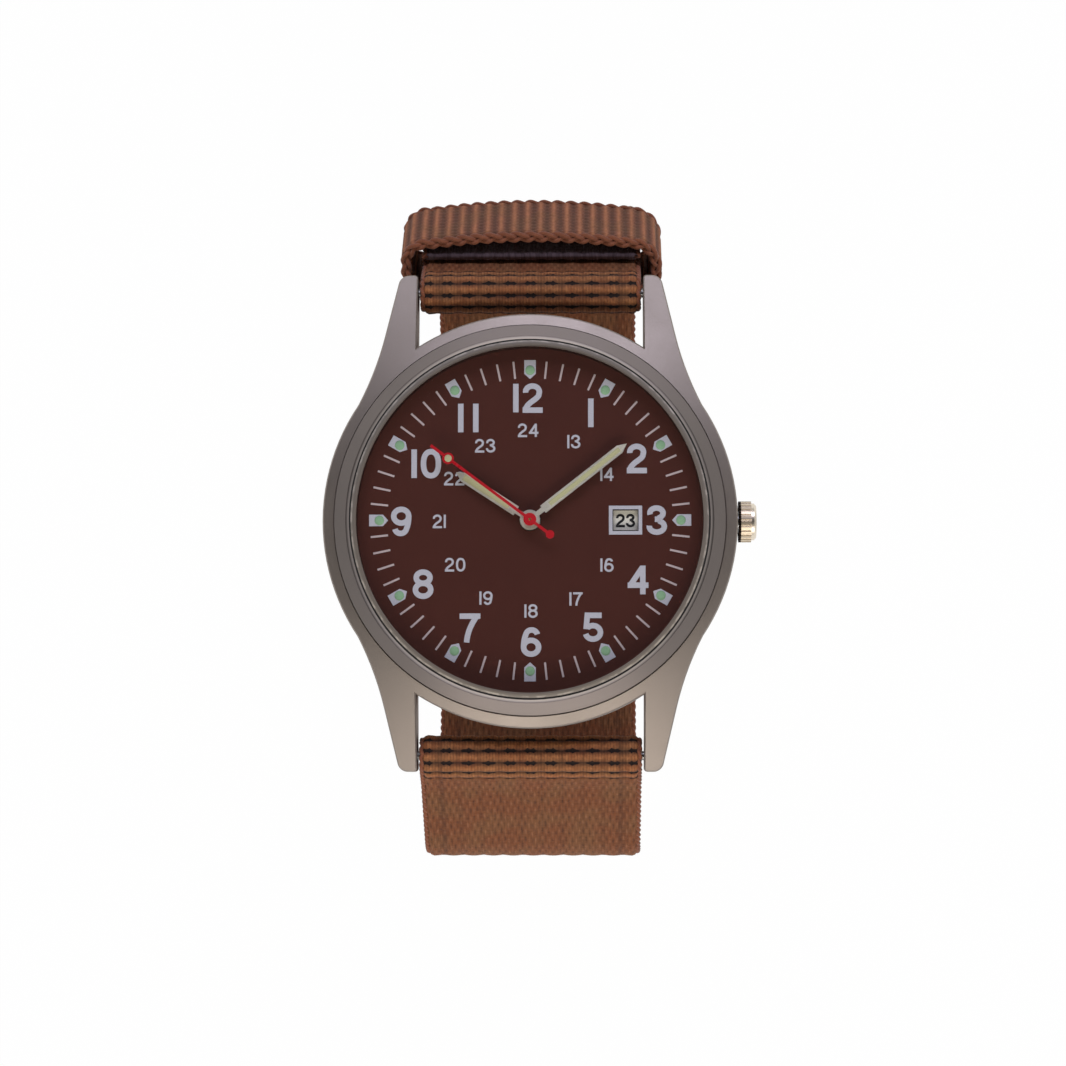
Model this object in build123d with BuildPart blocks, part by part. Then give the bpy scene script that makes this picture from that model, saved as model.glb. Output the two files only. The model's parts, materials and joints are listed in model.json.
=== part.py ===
from build123d import *
from math import atan2, cos, degrees, hypot, pi, radians, sin, sqrt, tan
import os

os.makedirs("parts", exist_ok=True)

# A quartz field watch with a date window, on a two-piece woven strap buckled in a loop.
# Lengths are millimetres. +Z comes out of the dial, +Y points to 12 o'clock and +X to the crown.
# The origin is on the dial's axis, at the flat outer face of the case back.

# Mid-case, turned from one bar: wall, sloping top, bezel recess, collar, lip and thread bore
case_radius = 18.5
case_foot_step = 1.1
case_foot_radius = case_radius - case_foot_step
case_foot_z = 0.8
case_wall_foot_z = 2.0
case_rim_z = 6.1
case_top_slope = 21.0
case_shoulder_width = 1.0
bezel_recess_radius = case_radius - case_shoulder_width
bezel_recess_depth = 0.3
bezel_width = 1.0
collar_radius = bezel_recess_radius - bezel_width
collar_top_z = 7.0
lip_width = 1.05
lip_radius = collar_radius - lip_width
lip_thickness = 0.6
collar_wall = 0.4
case_bore_radius = collar_radius - collar_wall
thread_depth = 0.2
thread_bore_radius = case_bore_radius + thread_depth
thread_bore_top_z = 2.1
edge_break = 0.12

# Lugs, seen from above and from the side
strap_width = 20.0
strap_play = 0.3
lug_gap = strap_width + strap_play
lug_tip_width = 1.57
lug_tip_x = lug_gap / 2 + lug_tip_width
lug_waist_width = 2.9
lug_waist_x = lug_gap / 2 + lug_waist_width
bar_distance = 2.4
bar_y = case_radius + bar_distance
lug_tip_length = 1.45
lug_tip_y = bar_y + lug_tip_length
lug_waist_length = 4.3
lug_waist_y = bar_y - lug_waist_length
lug_root_angle = 34.0
lug_outer_round = 0.95
lug_inner_round = 0.35
lug_inset = 0.6
lug_foot_inner_z = 1.0
lug_foot_tip_z = -0.3
turning_length = 4.6
turning_radius = bar_y + turning_length
blank_low_z = -1.5
blank_top_z = 7.5

# Bezel, crystal and its gasket, and the ring round the dial
bezel_gap = 0.12
bezel_wall_z = 6.6
bezel_top_z = 7.65
bezel_flat = 0.3
snap_clearance = 0.05
crystal_step = 0.65
crystal_radius = collar_radius - crystal_step
crystal_thickness = 1.05
crystal_bevel = 0.3
gasket_wall = 0.17
gasket_foot_width = 0.35
gasket_foot_radius = crystal_radius - gasket_foot_width
gasket_foot_thickness = 0.12
seat_clearance = 0.02
flange_ring_clearance = 0.07
flange_ring_radius = lip_radius - flange_ring_clearance
flange_ring_flare = 0.08

# Case back and its gasket
back_rim_width = 0.5
back_radius = case_foot_radius - back_rim_width
thread_clearance = 0.05
back_neck_radius = thread_bore_radius - thread_clearance
back_neck_top_z = 2.0
back_wall = 0.65
back_cavity_radius = back_neck_radius - back_wall
back_floor = 1.0
back_edge_chamfer = 0.3
back_notches = 6
back_notch_width = 2.4
back_notch_length = 0.9
back_notch_depth = 0.35
back_gasket_clearance = 0.13
back_gasket_inner = back_neck_radius + back_gasket_clearance
back_gasket_width = 0.34
back_gasket_outer = back_gasket_inner + back_gasket_width
back_gasket_height = 0.33

# Dial
dial_clearance = 0.1
dial_radius = case_bore_radius - dial_clearance
dial_top_z = 5.35
dial_thickness = 0.4
dial_hole_radius = 0.95
window_x = 8.5
window_width = 2.18
window_height = 1.78
dial_foot_radius = 0.3
dial_foot_length = 1.0
dial_foot_ring = 11.2
dial_foot_angle = 55.0

# Hands: plates at three levels, turned to nine minutes past ten
hour_hand_z = 5.75
minute_hand_z = 6.12
second_hand_z = 6.55
hand_thickness = 0.15
second_hand_thickness = 0.1
hour_hand_angle = 303.0
minute_hand_angle = 51.9
second_hand_angle = 306.8
hour_hand_length = 7.82
hour_hand_width = 0.92
hour_neck_width = 0.48
hour_step = 1.46
hour_hub_radius = 0.9
minute_hand_length = 10.94
minute_hand_width = 0.8
minute_neck_width = 0.44
minute_step = 1.48
minute_hub_radius = 0.82
hand_point_length = 0.8
hand_rim = 0.19
lume_start = 0.75
second_hand_length = 11.0
second_hand_width = 0.26
second_hub_radius = 0.57
second_disc_place = 9.06
second_disc_radius = 0.51
second_tail_place = 2.24
second_tail_radius = 0.38
second_boss_radius = 0.3
second_boss_height = 0.12

# Movement: holder ring, mainplate and its pockets, bridge, board
holder_outer_radius = case_bore_radius - dial_clearance
holder_low_z = 2.1
holder_gap = 0.05
movement_radius = 11.65
plate_low_z = 3.2
plate_top_z = 3.9
skirt_inner_radius = 11.0
skirt_low_z = 2.05
rim_inner_radius = 10.75
rim_top_z = 4.93
ring_seat_inner_radius = 9.9
ring_seat_z = 4.58
bridge_thickness = 0.3
bridge_radius = 11.4
bridge_edge_y = -3.0
board_edge_y = -3.3
board_thickness = 0.25
board_radius = 11.3
part_gap = 0.2
pivot_radius = 0.1
arbor_radius = 0.16
pivot_clearance = 0.03
bearing_clearance = 0.04
pocket_roof_z = 3.7

# Screws: places of the bridge, board and coil screws, and one screw's sizes
bridge_screws = [(4.9, 7.6), (-9.9, 2.6), (8.4, 3.2)]
board_screws = [(3.0, -9.3), (-2.0, -8.6)]
pillar_radius = 0.9
screw_head_radius = 0.7
screw_head_height = 0.25
screw_shank_radius = 0.32
screw_end_z = 3.6

# Battery, coil, stator, quartz can
battery_x = -6.4
battery_y = -3.0
battery_radius = 3.4
battery_height = 2.15
battery_low_z = 1.5
clamp_thickness = 0.12
clamp_width = 1.6
coil_x = -4.9
coil_y = 7.3
coil_angle = 35.0
coil_radius = 0.9
coil_length = 8.0
core_low_z = 2.55
core_thickness = 0.2
core_width = 1.2
core_tab_distance = 4.9
core_tab_radius = 0.8
stator_thickness = 0.2
stator_bar_width = 1.8
stator_bar_distance = 3.34
stator_hole_radius = 0.95
can_radius = 0.72
can_length = 5.0
can_x = 5.5
can_y = -6.2
can_z = 2.85

# Going train: teeth, modules and levels
addendum_share = 0.8
dedendum_share = 1.25
tooth_tip_share = 0.06
wheel_thickness = 0.15
rotor_leaves = 8
fifth_teeth = 48
fifth_leaves = 8
fourth_teeth = 40
fourth_leaves = 8
third_teeth = 64
third_leaves = 8
centre_teeth = 60
rotor_module = 0.09
fifth_module = 0.128
fourth_module = 0.085
train_pinion_height = 0.25
third_angle = 20.0
fifth_angle = 140.0
rotor_bend = 115.0
fifth_wheel_z = 2.2
fourth_wheel_z = 2.55
third_wheel_z = 2.2
centre_wheel_z = 2.88
rotor_magnet_radius = 0.7
rotor_magnet_z = 2.62
rotor_magnet_height = 0.42
arbor_low_z = 1.85
arbor_top_z = 3.35
seconds_arbor_radius = 0.12
centre_pipe_wall = 0.13
centre_pipe_top_z = 4.6

# Motion works and calendar on the dial side
cannon_leaves = 12
minute_wheel_teeth = 36
minute_wheel_leaves = 10
hour_wheel_teeth = 40
setting_wheel_teeth = 18
date_wheel_teeth = 80
cannon_module = 0.1
cannon_low_z = 3.98
cannon_leaf_height = 0.27
cannon_pipe_wall = 0.16
hour_pipe_wall = 0.14
pipe_clearance = 0.04
minute_wheel_z = 4.02
minute_wheel_angle = -25.0
hour_wheel_z = 4.38
setting_wheel_angle = 20.0
date_wheel_angle = 150.0
date_ring_teeth = 31
date_ring_outer = 10.65
date_ring_tip = 7.0
date_ring_root = 7.45
date_ring_z = 4.6
date_ring_thickness = 0.2
date_finger_length = 1.52
date_finger_width = 0.5
date_hub_radius = 0.6
calendar_plate_z = 4.83
calendar_plate_thickness = 0.1
calendar_plate_radius = 7.3
jumper_post_x = 1.2
jumper_post_y = -4.6
jumper_angle = -48.0
jumper_clearance = 0.07
jumper_post_radius = 0.45
small_stud_radius = 0.15
stud_radius = 0.25
finger_stud_radius = 0.3

# Crown works along the stem's axis
stem_z = 3.3
stem_radius = 0.45
stem_square = 0.62
stem_pivot_radius = 0.3
stem_start_x = 4.3
stem_square_x = 5.8
stem_round_x = 8.4
stem_groove_x = 9.6
stem_groove_length = 0.5
stem_groove_radius = 0.25
stem_overhang = 1.4
stem_end_x = case_radius + stem_overhang
stem_block_width = 3.2
stem_block_low_z = 2.7
stem_block_x = 4.2
pinion_x = 5.9
pinion_length = 1.6
pinion_radius = 0.8
pinion_groove_x = 6.9
pinion_groove_length = 0.4
pinion_groove_radius = 0.5
pinion_pocket_end_x = 8.2
crown_radius = 1.84
crown_knurl_length = 1.13
crown_gap = 0.12
crown_flutes = 24
flute_radius = 0.11
crown_collar_radius = 1.66
crown_collar_length = 0.45
crown_chamfer = 0.2
crown_recess_radius = 1.25
crown_recess_depth = 0.68
tube_radius = 0.95
tube_overhang = 0.6
gasket_length = 0.3
stem_travel = 1.0
lever_pivot_y = 2.2
lever_z = 3.95
lever_thickness = 0.15
lever_hub_radius = 0.55
lever_pin_radius = 0.18
lever_end_radius = 0.35
yoke_z = 3.93
yoke_thickness = 0.12
yoke_post_x = 7.4
yoke_post_y = 3.6
yoke_width = 0.6

# Spring bars between the lugs
bar_z = 1.8
bar_tube_radius = 0.8
bar_tube_step = 1.05
bar_tube_length = lug_gap - 2 * bar_tube_step
bar_tube_bore = 0.62
bar_end_wall = 0.2
plunger_neck_radius = 0.42
plunger_barrel_radius = 0.57
plunger_barrel_length = 1.7
plunger_reach = 0.8
lug_hole_radius = 0.5
lug_hole_depth = 1.1
plunger_bore_radius = 0.4
plunger_bore_depth = 1.3
bar_spring_radius = 0.36
bar_spring_bore = 0.22
bar_spring_seat = 0.1

# Strap: webbing that wraps each spring bar, runs out past the lugs and closes in a loop
webbing = 1.1
strap_fit = 0.05
strap_angle = 54.0
arm_length = 12.0
shoulder_radius = 6.0
side_length = 12.0
bottom_flat_half = 12.1
lug_double_length = 11.0
wrap_taper_length = 3.4
layer_gap = 0.15

# Buckle at the bottom of the loop
buckle_bar_y = 1.0
buckle_bar_radius = 0.8
buckle_double_length = 10.0
crossbar_offset = 10.5
crossbar_width = 2.0
crossbar_gap = 0.25
rail_gap = 0.65
rail_width = 1.4
rail_end_radius = 1.5
buckle_edge_break = 0.25
tongue_thickness = 0.9
tongue_width = 1.8
tongue_ring_radius = 1.45
tongue_slot_width = 2.6
tongue_notch_clearance = 0.15
tongue_knee_share = 0.33
tongue_rise_share = 0.55
tongue_reach = 0.5
tail_ramp_foot_y = -8.0
tail_ramp_top_y = -0.8
tail_level_end_y = 2.2
tail_settle_y = 4.6
tail_ramp_lift = 2.0
tail_bend_radius = 8.0
tail_crest_radius = 4.0
tail_tip_reach = 3.7
hole_radius = 1.0
hole_pitch = 6.5
tongue_hole_length = 3.4
tongue_hole_width = 2.3
tongue_hole_y = -4.0
tail_holes = 4

# Keepers
keeper_wall = 1.1
keeper_length = 7.2
keeper_side_gap = 0.9
keeper_start = 3.5
keeper_arch = 0.7
keeper_corner_share = 0.46
keeper_opening_corner_share = 0.34
fixed_keeper_y = 4.6
fixed_keeper_length = 6.0

# Cuts run past what they cut by this much
overrun = 0.5

standing = (Align.CENTER, Align.CENTER, Align.MIN)
along_x = (0, 90, 0)

# Worked-out sizes of the case and dial
bezel_recess_z = case_rim_z - bezel_recess_depth
bezel_radius = bezel_recess_radius - bezel_gap
crystal_seat_z = collar_top_z + gasket_foot_thickness + 2 * seat_clearance
crystal_top_z = crystal_seat_z + crystal_thickness
bezel_bore_radius = crystal_radius + gasket_wall
lip_low_z = collar_top_z - lip_thickness
dial_low_z = dial_top_z - dial_thickness
lug_inside_radius = case_radius - lug_inset
lug_root = (
    case_radius * cos(radians(lug_root_angle)),
    case_radius * sin(radians(lug_root_angle)),
)
lug_root_inside = (
    lug_inside_radius * cos(radians(lug_root_angle)),
    lug_inside_radius * sin(radians(lug_root_angle)),
)
lug_inside = (lug_gap / 2, sqrt(lug_inside_radius**2 - (lug_gap / 2) ** 2))

# Worked-out radii of the pipes nested on the dial's axis, from the inside out
centre_pipe_bore = seconds_arbor_radius + pipe_clearance
centre_pipe_radius = centre_pipe_bore + centre_pipe_wall
cannon_bore = centre_pipe_radius + pivot_clearance
cannon_radius = cannon_bore + cannon_pipe_wall
hour_pipe_bore = cannon_radius + pipe_clearance
hour_pipe_radius = hour_pipe_bore + hour_pipe_wall

# Worked-out places of the train's arbors
centre = (0, 0)
third_distance = fourth_module * (fourth_leaves + third_teeth) / 2
third_module = 2 * third_distance / (third_leaves + centre_teeth)
fifth_distance = fifth_module * (fifth_leaves + fourth_teeth) / 2
rotor_distance = rotor_module * (rotor_leaves + fifth_teeth) / 2


def polar(origin, distance, angle):
    """The point at a distance and an angle, in degrees, from an origin."""
    return (
        origin[0] + distance * cos(radians(angle)),
        origin[1] + distance * sin(radians(angle)),
    )


third_place = polar(centre, third_distance, third_angle)
fifth_place = polar(centre, fifth_distance, fifth_angle)
rotor_place = polar(fifth_place, rotor_distance, rotor_bend)

# Worked-out places of the motion works
minute_wheel_distance = cannon_module * (cannon_leaves + minute_wheel_teeth) / 2
hour_module = 2 * minute_wheel_distance / (minute_wheel_leaves + hour_wheel_teeth)
setting_distance = cannon_module * (minute_wheel_teeth + setting_wheel_teeth) / 2
date_wheel_distance = hour_module * (hour_wheel_teeth + date_wheel_teeth) / 2
minute_wheel_place = polar(centre, minute_wheel_distance, minute_wheel_angle)
setting_place = polar(minute_wheel_place, setting_distance, setting_wheel_angle)
date_wheel_place = polar(centre, date_wheel_distance, date_wheel_angle)

# Worked-out places of the crown works
lever_pin_x = stem_groove_x + stem_groove_length / 2
lever_pivot = (lever_pin_x + stem_travel / 2, lever_pivot_y)
crown_x = case_radius + crown_gap
crown_end_x = crown_x + crown_knurl_length + crown_collar_length
tube_end_x = case_radius + tube_overhang

# Worked-out line of the loop's inner face: the half width, the corner levels and the bottom
arm_cos = cos(radians(strap_angle))
arm_sin = sin(radians(strap_angle))
loop_half = bar_y + arm_length * arm_cos + shoulder_radius * (1 - arm_sin)
shoulder_low_z = bar_z - arm_length * arm_sin - shoulder_radius * arm_cos
corner_radius = loop_half - bottom_flat_half
loop_low_z = shoulder_low_z - side_length - corner_radius
wrap_radius = bar_tube_radius + webbing
tail_lift = webbing + layer_gap
keeper_low_lift = -webbing - layer_gap
keeper_high_lift = tail_lift + webbing + layer_gap
stand_lift = keeper_high_lift + keeper_wall
keeper_corner = keeper_corner_share * (keeper_high_lift - keeper_low_lift + 2 * keeper_wall)
rail_inner_x = strap_width / 2 + rail_gap
rail_outer_x = rail_inner_x + rail_width
crossbar_y = buckle_bar_y - crossbar_offset


def top_of_case(radius):
    """Height of the turned, sloping top of the case and lugs at a radius."""
    return case_rim_z - (radius - bezel_recess_radius) * tan(radians(case_top_slope))


def under_lug(radius):
    """Height of the underside of the lugs at a radius."""
    share = (radius - collar_radius) / (turning_radius - collar_radius)
    return lug_foot_inner_z + share * (lug_foot_tip_z - lug_foot_inner_z)


def on_arm(side, reach, lift):
    """Point (y, z) beside the sloping arm of the loop: along it from the bar, and out from it."""
    y = bar_y + reach * arm_cos + lift * arm_sin
    z = bar_z - reach * arm_sin + lift * arm_cos
    return (side * y, z)


def shoulder_corner(side, lift):
    """Where the arm's line meets the upright side of the loop, at a lift from the inner face."""
    reach = (loop_half + lift - bar_y - lift * arm_sin) / arm_cos
    return on_arm(side, reach, lift)


def bottom_corner(side, lift):
    """Where the upright side meets the bottom of the loop, at a lift from the inner face."""
    return (side * (loop_half + lift), loop_low_z - lift)


def wheel_outline(teeth, module, phase=0.0):
    """Corners of a toothed wheel: a root point and two corners of a narrow tip for each tooth."""
    pitch = 2 * pi / teeth
    root = module * (teeth / 2 - dedendum_share)
    tip = module * (teeth / 2 + addendum_share)
    corners = []
    for tooth in range(teeth):
        middle = phase + tooth * pitch
        for radius, share in ((root, -1 / 2), (tip, -tooth_tip_share), (tip, tooth_tip_share)):
            turn = middle + share * pitch
            corners.append((radius * cos(turn), radius * sin(turn)))
    return corners


def mesh_phase(place, teeth, phase, mate_place, mate_teeth):
    """Angle of a mate's first tooth that puts its gap opposite a tooth, on the line of centres."""
    line = atan2(mate_place[1] - place[1], mate_place[0] - place[0])
    past_tooth = ((line - phase) * teeth / (2 * pi)) % 1
    return line + pi - (1 / 2 - past_tooth) * 2 * pi / mate_teeth


def toothed_disc(place, low, height, teeth, module, phase=0.0):
    """Adds a toothed disc to the piece being built."""
    with BuildSketch(Plane.XY.offset(low)) as disc:
        with Locations(place):
            Polygon(*wheel_outline(teeth, module, phase), align=None)
    extrude(disc.sketch, amount=height)


def upright(place, low, high, radius, mode=Mode.ADD):
    """Adds or cuts an upright cylinder between two heights."""
    with Locations((place[0], place[1], low)):
        Cylinder(radius, high - low, align=standing, mode=mode)


def spindle(start_x, end_x, radius, y=0.0, z=stem_z, mode=Mode.ADD):
    """Adds or cuts a cylinder that lies along X between two places."""
    with Locations((start_x, y, z)):
        Cylinder(radius, end_x - start_x, rotation=along_x, align=standing, mode=mode)


def bearing_holes(radius, low, high, places):
    """Cuts the bearing holes of the train's arbors."""
    for place in places:
        upright(place, low, high, radius, mode=Mode.SUBTRACT)


# Mid-case: the lugs are cut to their outline, turned to one sloping top, and joined to the ring
with BuildPart() as mid_case:
    with BuildSketch(Plane.XY.offset(blank_low_z)) as lug_plan:
        with BuildLine():
            flank = Line((lug_tip_x, lug_tip_y), (lug_waist_x, lug_waist_y))
            sweep_in = TangentArc(flank @ 1, lug_root, tangent=flank % 1)
            Polyline(
                sweep_in @ 1, lug_root_inside, lug_inside, (lug_gap / 2, lug_tip_y), flank @ 0
            )
        make_face()
        tip_corners = lug_plan.vertices().sort_by(Axis.Y)[-2:].sort_by(Axis.X)
        fillet(tip_corners[-1], lug_outer_round)
        fillet(lug_plan.vertices().group_by(Axis.Y)[-1].sort_by(Axis.X)[0], lug_inner_round)
        mirror(about=Plane.YZ)
        mirror(about=Plane.XZ)
    extrude(amount=blank_top_z - blank_low_z)
    with BuildSketch(Plane.XZ):
        Polygon(
            (collar_radius, under_lug(collar_radius)),
            (turning_radius, under_lug(turning_radius)),
            (turning_radius, top_of_case(turning_radius)),
            (collar_radius, top_of_case(collar_radius)),
            align=None,
        )
    revolve(axis=Axis.Z, mode=Mode.INTERSECT)
    chamfer(mid_case.faces().filter_by(GeomType.CONE).edges(), edge_break)
    with BuildSketch(Plane.XZ):
        Polygon(
            (thread_bore_radius, case_foot_z),
            (case_foot_radius, case_foot_z),
            (case_radius, case_wall_foot_z),
            (case_radius, top_of_case(case_radius) - edge_break),
            (case_radius - edge_break, top_of_case(case_radius - edge_break)),
            (bezel_recess_radius, case_rim_z),
            (bezel_recess_radius, bezel_recess_z),
            (collar_radius, bezel_recess_z),
            (collar_radius, collar_top_z),
            (lip_radius, collar_top_z),
            (lip_radius, lip_low_z),
            (case_bore_radius, lip_low_z),
            (case_bore_radius, thread_bore_top_z),
            (thread_bore_radius, thread_bore_top_z),
            align=None,
        )
    revolve(axis=Axis.Z)
    spindle(lip_radius, case_radius + overrun, tube_radius, mode=Mode.SUBTRACT)
    for side in (-1, 1):
        for start_x in (-lug_gap / 2 - lug_hole_depth, lug_gap / 2):
            spindle(
                start_x, start_x + lug_hole_depth, lug_hole_radius, side * bar_y, bar_z, Mode.SUBTRACT
            )
mid_case.part.label = "mid_case"
export_step(mid_case.part, "parts/mid_case.step")

# Bezel: a ring with a sloping top that snaps over the case's collar
with BuildPart() as bezel:
    with BuildSketch(Plane.XZ):
        Polygon(
            (collar_radius + snap_clearance, bezel_recess_z),
            (bezel_radius, bezel_recess_z),
            (bezel_radius, bezel_wall_z),
            (bezel_bore_radius + bezel_flat, bezel_top_z),
            (bezel_bore_radius, bezel_top_z),
            (bezel_bore_radius, collar_top_z + snap_clearance),
            (collar_radius + snap_clearance, collar_top_z + snap_clearance),
            align=None,
        )
    revolve(axis=Axis.Z)
bezel.part.label = "bezel"
export_step(bezel.part, "parts/bezel.step")

# Crystal gasket: a ring round the crystal with a foot under its edge
with BuildPart() as crystal_gasket:
    with BuildSketch(Plane.XZ):
        Polygon(
            (gasket_foot_radius, collar_top_z + seat_clearance),
            (bezel_bore_radius - seat_clearance, collar_top_z + seat_clearance),
            (bezel_bore_radius - seat_clearance, bezel_top_z),
            (crystal_radius + seat_clearance, bezel_top_z),
            (crystal_radius + seat_clearance, crystal_seat_z - seat_clearance),
            (gasket_foot_radius, crystal_seat_z - seat_clearance),
            align=None,
        )
    revolve(axis=Axis.Z)
crystal_gasket.part.label = "crystal_gasket"
export_step(crystal_gasket.part, "parts/crystal_gasket.step")

# Crystal: a flat disc of glass with a bevelled upper edge
with BuildPart() as crystal:
    upright(centre, crystal_seat_z, crystal_top_z, crystal_radius)
    chamfer(crystal.edges().filter_by(GeomType.CIRCLE).sort_by(Axis.Z)[-1], crystal_bevel)
crystal.part.label = "crystal"
export_step(crystal.part, "parts/crystal.step")

# Flange ring: the polished wall between the dial and the lip
with BuildPart() as flange_ring:
    with BuildSketch(Plane.XZ):
        Polygon(
            (flange_ring_radius, dial_top_z + seat_clearance),
            (case_bore_radius - snap_clearance, dial_top_z + seat_clearance),
            (case_bore_radius - snap_clearance, lip_low_z - seat_clearance),
            (flange_ring_radius + flange_ring_flare, lip_low_z - seat_clearance),
            align=None,
        )
    revolve(axis=Axis.Z)
flange_ring.part.label = "flange_ring"
export_step(flange_ring.part, "parts/flange_ring.step")

# Case back: a screw-down lid with a gasket groove and notches for a wrench
with BuildPart() as case_back:
    with BuildSketch(Plane.XZ):
        Polygon(
            (0, 0),
            (back_radius - back_edge_chamfer, 0),
            (back_radius, back_edge_chamfer),
            (back_radius, case_foot_z),
            (back_gasket_outer + seat_clearance, case_foot_z),
            (back_gasket_outer + seat_clearance, case_foot_z - back_gasket_height),
            (back_gasket_inner - seat_clearance, case_foot_z - back_gasket_height),
            (back_gasket_inner - seat_clearance, case_foot_z),
            (back_neck_radius, case_foot_z),
            (back_neck_radius, back_neck_top_z),
            (back_cavity_radius, back_neck_top_z),
            (back_cavity_radius, back_floor),
            (0, back_floor),
            align=None,
        )
    revolve(axis=Axis.Z)
    with BuildSketch():
        with PolarLocations(back_radius - back_notch_length / 2, back_notches):
            Rectangle(back_notch_length + overrun, back_notch_width)
    extrude(amount=back_notch_depth, mode=Mode.SUBTRACT)
case_back.part.label = "case_back"
export_step(case_back.part, "parts/case_back.step")

with BuildPart() as back_gasket:
    upright(centre, case_foot_z - back_gasket_height, case_foot_z, back_gasket_outer)
    upright(centre, case_foot_z - back_gasket_height, case_foot_z, back_gasket_inner, Mode.SUBTRACT)
back_gasket.part.label = "back_gasket"
export_step(back_gasket.part, "parts/back_gasket.step")

# Dial: a disc with the date window, the pipes' hole and two feet
with BuildPart() as dial:
    upright(centre, dial_low_z, dial_top_z, dial_radius)
    upright(centre, dial_low_z, dial_top_z, dial_hole_radius, Mode.SUBTRACT)
    with BuildSketch(Plane.XY.offset(dial_low_z)):
        with Locations((window_x, 0)):
            Rectangle(window_width, window_height)
    extrude(amount=dial_thickness, mode=Mode.SUBTRACT)
    for turn in (dial_foot_angle, dial_foot_angle + 180):
        foot = polar(centre, dial_foot_ring, turn)
        upright(foot, dial_low_z - dial_foot_length, dial_low_z, dial_foot_radius)
dial.part.label = "dial"
export_step(dial.part, "parts/dial.step")


def hand_outline(length, width, neck_width, step):
    """Half outline of a hand along +Y: neck, square step, parallel body and point."""
    return [
        (0, 0),
        (neck_width / 2, 0),
        (neck_width / 2, step),
        (width / 2, step),
        (width / 2, length - hand_point_length),
        (0, length),
    ]


def make_hand(label, low, angle, length, width, neck_width, step, hub_radius, bore):
    """A hand with its hub and a slot for the lume, and the lume that fills the slot."""
    level = Plane.XY.offset(low).rotated((0, 0, -angle))
    slot_start = step + lume_start
    slot_end = length - hand_point_length
    with BuildPart() as hand:
        with BuildSketch(level) as plan:
            with BuildLine():
                half = Polyline(*hand_outline(length, width, neck_width, step))
                mirror(half, about=Plane.YZ)
            make_face()
            Circle(hub_radius)
            Circle(bore, mode=Mode.SUBTRACT)
            with Locations((0, (slot_start + slot_end) / 2)):
                Rectangle(width - 2 * hand_rim, slot_end - slot_start, mode=Mode.SUBTRACT)
        extrude(amount=hand_thickness)
    with BuildPart() as lume:
        with BuildSketch(level):
            with Locations((0, (slot_start + slot_end) / 2)):
                Rectangle(width - 2 * hand_rim, slot_end - slot_start)
        extrude(amount=hand_thickness)
    hand.part.label = label
    export_step(hand.part, f"parts/{label}.step")
    lume.part.label = f"{label}_lume"
    export_step(lume.part, f"parts/{label}_lume.step")


make_hand(
    "hour_hand", hour_hand_z, hour_hand_angle, hour_hand_length, hour_hand_width,
    hour_neck_width, hour_step, hour_hub_radius, hour_pipe_radius,
)
make_hand(
    "minute_hand", minute_hand_z, minute_hand_angle, minute_hand_length, minute_hand_width,
    minute_neck_width, minute_step, minute_hub_radius, cannon_radius,
)

# Second hand: a thin arm with a hub, a lume disc near its tip and a round counterweight
with BuildPart() as second_hand:
    with BuildSketch(Plane.XY.offset(second_hand_z).rotated((0, 0, -second_hand_angle))):
        with Locations((0, (second_hand_length - second_tail_place) / 2)):
            Rectangle(second_hand_width, second_hand_length + second_tail_place)
        Circle(second_hub_radius)
        with Locations((0, second_disc_place)):
            Circle(second_disc_radius)
        with Locations((0, -second_tail_place)):
            Circle(second_tail_radius)
        Circle(seconds_arbor_radius, mode=Mode.SUBTRACT)
    extrude(amount=second_hand_thickness)
    upright(centre, second_hand_z - second_boss_height, second_hand_z, second_boss_radius)
    upright(
        centre, second_hand_z - second_boss_height, second_hand_z, seconds_arbor_radius, Mode.SUBTRACT
    )
second_hand.part.label = "second_hand"
export_step(second_hand.part, "parts/second_hand.step")

# Movement holder: a plastic ring between the movement and the case, open where the stem passes
with BuildPart() as movement_holder:
    upright(centre, holder_low_z, rim_top_z, holder_outer_radius)
    upright(centre, holder_low_z, rim_top_z, movement_radius + holder_gap, Mode.SUBTRACT)
    with Locations((movement_radius, 0, holder_low_z)):
        Box(
            holder_outer_radius, 2 * tube_radius, stem_z + tube_radius - holder_low_z,
            align=(Align.MIN, Align.CENTER, Align.MIN), mode=Mode.SUBTRACT,
        )
movement_holder.part.label = "movement_holder"
export_step(movement_holder.part, "parts/movement_holder.step")

coil_line = Plane(origin=(coil_x, coil_y, 0)).rotated((0, 0, coil_angle))
coil_tabs = [
    polar((coil_x, coil_y), core_tab_distance, coil_angle),
    polar((coil_x, coil_y), -core_tab_distance, coil_angle),
]
train_places = [third_place, fifth_place, rotor_place]

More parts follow.
